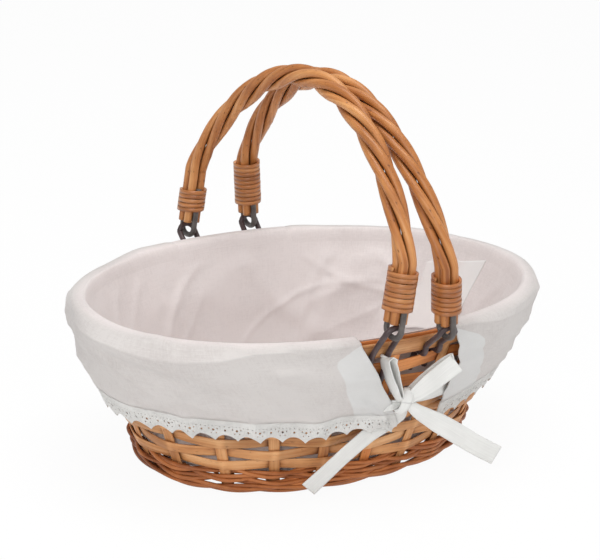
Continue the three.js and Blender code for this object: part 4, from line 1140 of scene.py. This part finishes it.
def marching(nu, nv, du, dv, func):
    """Cells of a grid, cut along the zero line of func: points (u, v) and faces."""
    us, vs = np.arange(nu + 1) * du, np.arange(nv + 1) * dv
    values = func(*np.meshgrid(us, vs, indexing="ij"))
    points, index, faces = [], {}, []

    def vertex(key, u, v):
        if key not in index:
            index[key] = len(points)
            points.append((u, v))
        return index[key]

    for i in range(nu):
        for j in range(nv):
            ring = [(i, j), (i + 1, j), (i + 1, j + 1), (i, j + 1)]
            inside = [values[a] > 0 for a in ring]
            if not any(inside):
                continue
            face = []
            for k in range(4):
                a, b = ring[k], ring[(k + 1) % 4]
                if inside[k]:
                    face.append(vertex(a, us[a[0]], vs[a[1]]))
                if inside[k] != inside[(k + 1) % 4]:
                    t = float(values[a] / (values[a] - values[b]))
                    t = min(max(t, 0.05), 0.95)
                    key = tuple(sorted((a, b)))
                    face.append(vertex(key, us[a[0]] + (us[b[0]] - us[a[0]]) * t,
                                       vs[a[1]] + (vs[b[1]] - vs[a[1]]) * t))
            if len(face) >= 3:
                faces.append(face)
    return np.array(points), faces


def make_lace(side, hem):
    """hem holds share, height and offset of the last row of the skirt."""
    line = level_point(hem[:, 0], hem[:, 1], hem[:, 2])
    length = distances(line)
    scallops = round(length[-1] / SCALLOP)
    uv, faces = marching(scallops * 28, 40, 1 / 28, 0.5, lambda u, v: lace_pattern(u, v, scallops))
    u, down = uv[:, 0] / scallops, uv[:, 1]
    at = u * length[-1]
    share, level, offset = [np.interp(at, length, hem[:, k]) for k in range(3)]
    drift = 0.0
    for end, away in ((0, u), (1, 1 - u)):
        slope = flap_span(side, HEM_Z - 15)[end] - flap_span(side, HEM_Z)[end]
        drift = drift + slope * (down / 15) * (1 - smooth(away * length[-1], 0, 70))
    flat_points = uv * (SCALLOP, 1)
    x = (uv[:, 0] % 1 - 0.5) * SCALLOP
    stitched = (0.25 * np.exp(-((np.hypot(x, down - 9.5) - 4.6) / 0.8) ** 2)
                + 0.2 * np.exp(-((down - 3.4) / 0.5) ** 2))
    ripple = (0.5 * np.sin(uv[:, 0] * 2 * np.pi) + 0.7 * waves(u * 0.5, 77, 6, 3, 14)) * (down / 18)
    pts = level_point(share + drift, level + 0.9 - down, offset - 0.7 - down * 0.06 + ripple + stitched)
    corners = [flat_points[i] for face in faces for i in face]
    obj = mesh_object(f"scalloped_lace_{side}", pts, faces, corners)
    thicken(obj, 0.7)
    finish_piece(obj, LACE, "basket", [f"lace_trim_{side}"])
    for face in faces:
        x, y = flat_points[face].T


def make_label():
    a, b = np.meshgrid(np.linspace(-0.5, 0.5, 60), np.linspace(0, 1, 40), indexing="ij")
    z = 111 - 14 * a - (54 - 4 * a) * b + 0.6 * np.sin(a * 9)
    share = LABEL_AT + (a + 0.1 * b) * LABEL_W / ROUND
    lift = 0.25 * np.sin(a * 7 + 1) * np.cos(b * 4)
    pts = level_point(share, z, -8.95 - 0.3 * np.abs(lift) - 0.2 * smooth(-a, 0.1, 0.14))
    obj = grid_object("blank_label", pts)
    set_tone(obj, np.clip(-a - 0.14, -0.1, 0.1))
    thicken(obj, 0.3)
    finish_piece(obj, LABEL, "basket", ["liner_label"])


# Bows

def bow_place(front):
    """Functions that place points and directions from the knot, and points on the wall below the rim."""
    x = 12.0 if front else -12.0
    knot = wall_point(share_of_x(x, 80.0, front), 80.0, 15.5)
    sign = -1 if front else 1

    def at(right, out, up):
        return np.array([knot[0] + right - 4.5, knot[1] + sign * (out - 4.5), knot[2] + up + 1])

    def direction(right, out, up):
        return unit(np.array([right, sign * out, up]))

    def on_wall(right, z, offset):
        return level_point(share_of_x(x + right, z, front), z, offset)

    return at, direction, on_wall


def ribbon_strip(path, side, width, curl):
    """A grid of points for a ribbon whose width and curl may change along it."""
    _, side, out = frames_along(path, np.broadcast_to(side, path.shape), False)
    width, curl = (np.broadcast_to(np.asarray(v, float), (len(path),)) for v in (width, curl))
    x = np.linspace(-0.5, 0.5, 13)
    bend = (x * 2) ** 2 - 0.4
    return (path[:, None] + side[:, None] * (x[None, :, None] * width[:, None, None])
            + out[:, None] * (bend[None, :, None] * curl[:, None, None]))


def blend_sides(directions, count):
    """Side directions at the path's points, turned evenly from one given direction to the next."""
    d = np.array(directions, float)
    t = np.linspace(0, len(d) - 1, count)
    return unit(np.stack([np.interp(t, range(len(d)), d[:, k]) for k in range(3)], -1))


def make_bow(front):
    at, direction, on_wall = bow_place(front)
    name = "front" if front else "back"
    strips = []

    def strip(path, sides, *width_and_curl):
        side = blend_sides([direction(*s) for s in sides], len(path))
        t = np.linspace(0, 1, len(path))
        width, curl = (np.interp(t, np.linspace(0, 1, len(v)), v) for v in width_and_curl)
        strips.append(ribbon_strip(path, side, width, curl))

    def run(points, count):
        return smooth_path([at(*p) for p in points], count)

    # the loop to the right, and the upright loop
    strip(run([(2, -0.3, 0.5), (8, 1.2, 4.6), (20, 2.6, 12.2), (31, 3.8, 19.6), (37.5, 4.9, 23.2), (39.6, 5.6, 24.2),
               (40.2, 6.6, 24.4), (38.6, 7.4, 23.8), (30, 7.2, 19), (20, 6.6, 12.6), (10, 5.2, 6), (3, 3.0, 1)], 90),
          [(-0.62, -0.3, 0.72)] * 3,
          [6, 11, 14, 15, 15, 15, 15, 15, 14.5, 12, 7], [2.4, 1.0, 0.3, 0, 0, 0, 0, 0.2, 0.9, 2.4])
    strip(run([(-1, 0, 1), (-6, 3.5, 9), (-11, 6, 18), (-17, 8.8, 31), (-20.8, 10, 37.8), (-22.4, 10.6, 39.4),
               (-23.8, 10.4, 38.2), (-23.4, 9.9, 33.5), (-19.8, 8.5, 25), (-15.2, 6.8, 17), (-9, 4.2, 7),
               (-3, 1, 0)], 90),
          [(0.1, 0.94, 0.3), (-0.05, 0.95, 0.35), (-0.15, 0.92, 0.38), (-0.2, 0.93, 0.36), (-0.15, 0.93, 0.36),
           (-0.1, 0.93, 0.3)],
          [6, 10, 13.5, 14.5, 15, 15, 14.5, 13.5, 11, 7], [2.0, 0.9, 0.3, 0, 0, 0.3, 0.9, 2.0])
    # the tail that hangs to the left, and the one that stands out to the right
    tail = [at(1.5, 0.5, -4)] + [on_wall(*p) for p in (
        (-0.5, 66, 10.2), (0.5, 60.5, 8), (-0.5, 55.5, 5.0), (-5.5, 52.5, 4.5), (-16.5, 47.5, 5.0), (-29, 40.5, 8.6),
        (-40, 33.5, 12.5), (-51.5, 22.5, 16), (-61, 11, 18))]
    strip(smooth_path(tail, 90),
          [(-0.94, 0, 0.34), (-0.8, 0, 0.6), (-0.58, 0.12, 0.8), (-0.6, 0.12, 0.79), (-0.66, 0.05, 0.75)],
          [7, 11.5, 14.5, 15, 15, 15, 15], [2.0, 0.8, 0.3, 0.2, 0.1])
    strip(run([(2, 2.0, -2), (7.3, 4.0, -5.6), (13.6, 5.0, -10.4), (25.4, 5.8, -17.8), (42, 6.0, -28.4),
               (61, 5.8, -41.2), (75.6, 5.6, -50.4), (87.5, 5.4, -57.4)], 80),
          [(0.3, 0.1, 0.95), (0.5, 0.1, 0.85), (0.56, 0.05, 0.83), (0.55, 0, 0.84), (0.55, 0.05, 0.84)],
          [6, 11, 14.5, 15, 15, 15, 15], [2.4, 0.8, 0.2, 0.1, 0.1])
    # the two ends that are sewn to the corners of the skirts
    left_tie = [at(-1, 0.5, -1), at(-4, -0.4, -2.5), at(-8, -1.5, -3.6), on_wall(-16, 72, 7.2), on_wall(-22, 72.5, 7.0)]
    strip(smooth_path(left_tie, 30), [(-0.2, 0.4, 0.9), (0.2, -0.3, 0.93), (0.1, 0, 1), (0, 0, 1)],
          [5, 7, 9, 11], [2.0, 1.4, 0.4])
    seat = 40 if front else 33
    right_tie = [at(2, 0.4, -0.5), at(12, 1.6, 0.2), at(24, 1.2, 1.0), on_wall(seat - 6, 76, 8.6),
                 on_wall(seat + 1, 76, 7.3), on_wall(seat + 9, 76, 6.9)]
    strip(smooth_path(right_tie, 50), [(-0.1, -0.5, 0.85), (-0.05, -0.2, 0.95), (0, 0, 1), (0, 0, 1)],
          [5, 7, 9, 11, 12], [2.0, 1.2, 0.6, 0.2])
    # the knot, two turns of ribbon
    turn = np.linspace(0, 2 * math.pi, 49)
    ring = np.stack([2.4 * np.sin(turn) + 0.4, 4.2 * np.cos(turn) + 1.6, 8.6 * np.sin(turn) - 0.2], -1)
    for shrink, side, width, curl in (
            (1.0, direction(0.96, 0, -0.27), 8.8 + 0.9 * np.sin(turn * 3), -1.3 + 0.6 * np.cos(turn * 2)),
            (0.86, direction(0.9, 0, -0.42), 7.5, 0.8)):
        strips.append(ribbon_strip(np.array([at(*(p * shrink)) for p in ring]), side, width, curl))

    points, faces, corners = [], [], []
    for pts in strips:
        columns = pts.shape[1]
        uv = grid_uv(distances(pts[:, columns // 2]), np.arange(columns) * 1.2)
        more_faces, more_corners = grid_cells(uv, first=len(points))
        points.extend(pts.reshape(-1, 3))
        faces += more_faces
        corners += more_corners
    area = sum(area_of(pts) for pts in strips)
    obj = mesh_object(f"{name}_ribbon_bow", points, faces, corners)
    thicken(obj, 0.5)
    finish_piece(obj, RIBBON, "basket", [f"{name}_bow"])


# Camera, light and floor

def make_camera():
    azimuth, elevation, distance = math.radians(-34.0), math.radians(21.0), 1.45
    roll, focal = math.radians(-4.4), 1960.0
    sensor, picture = 36.0, 600.0
    target = Vector((0, 0, 0.1))
    flat = math.cos(elevation)
    back = Vector((math.sin(azimuth) * flat, -math.cos(azimuth) * flat, math.sin(elevation)))
    right = Vector((0, 0, 1)).cross(back).normalized()
    up = back.cross(right)
    right, up = (right * math.cos(roll) - up * math.sin(roll), right * math.sin(roll) + up * math.cos(roll))
    turned = Matrix((right, up, back)).transposed().to_quaternion()
    # the target shows 8.6 pixels right of the picture's middle and 36 below it
    wanted = Vector((8.6, -36.0, -focal)).normalized()
    aim = wanted.rotation_difference(Vector((0, 0, -1)))
    data = bpy.data.cameras.new("photo_camera")
    data.sensor_width = sensor
    data.lens = focal * sensor / picture
    data.clip_end = 50
    camera = add_object("photo_camera", data)
    camera.rotation_mode = "QUATERNION"
    camera.rotation_quaternion = turned @ aim
    camera.location = target + back * distance
    bpy.context.scene.camera = camera


def area_light(name, location, size, energy):
    data = bpy.data.lights.new(name, "AREA")
    data.size = size
    data.energy = energy
    light = add_object(name, data)
    light.location = location
    light.rotation_mode = "QUATERNION"
    light.rotation_quaternion = (-Vector(location) + Vector((0, 0, 0.1))).to_track_quat("-Z", "Y")


def make_studio():
    world = bpy.data.worlds.new("studio")
    world.use_nodes = True
    background = world.node_tree.nodes["Background"].inputs
    background["Color"].default_value = (1, 1, 1, 1)
    background["Strength"].default_value = 0.5
    bpy.context.scene.world = world
    area_light("key", (-1.25, -1.05, 0.9), 0.8, 9.5)
    area_light("fill", (1.3, -1.1, 0.6), 1.2, 5.0)
    area_light("top", (-0.05, -0.05, 1.7), 1.0, 14.5)
    n = Nodes("pale_floor")
    place = n.place()
    tint = n.ramp(n.noise(place, 6.0, 2.0), [(0.3, (0.9, 0.9, 0.9)), (0.7, (0.92, 0.92, 0.92))])
    n.set(Base_Color=tint, Roughness=0.9, Specular_IOR_Level=0.1)
    # camera, glossy and transmission rays see a nearly white floor with a little of its shading
    glow = n.add("ShaderNodeEmission", Color=(1, 1, 1, 1), Strength=1.0)
    rays = n.add("ShaderNodeLightPath").outputs
    seen = n.math("ADD", rays["Is Camera Ray"], rays["Is Glossy Ray"], True)
    seen = n.math("ADD", seen, rays["Is Transmission Ray"], True)
    n.blend_in(n.math("MULTIPLY", seen, 0.94), glow.outputs[0])
    half = 4000.0
    floor = mesh_object("floor", [(x * half, y * half, 0) for x, y in ((-1, -1), (1, -1), (1, 1), (-1, 1))],
                        [(0, 1, 2, 3)])
    floor.data.materials.append(n.material)


make_camera()
make_studio()
make_rods(make_weavers())
make_hoops()
make_slats()
make_base()
for side in ("left", "right"):
    make_handle(side)
make_basket_loops()
make_bag()
for side in ("left", "right"):
    make_skirt(side)
make_label()
for front in (True, False):
    make_bow(front)

bpy.context.scene.view_settings.view_transform = "Standard"
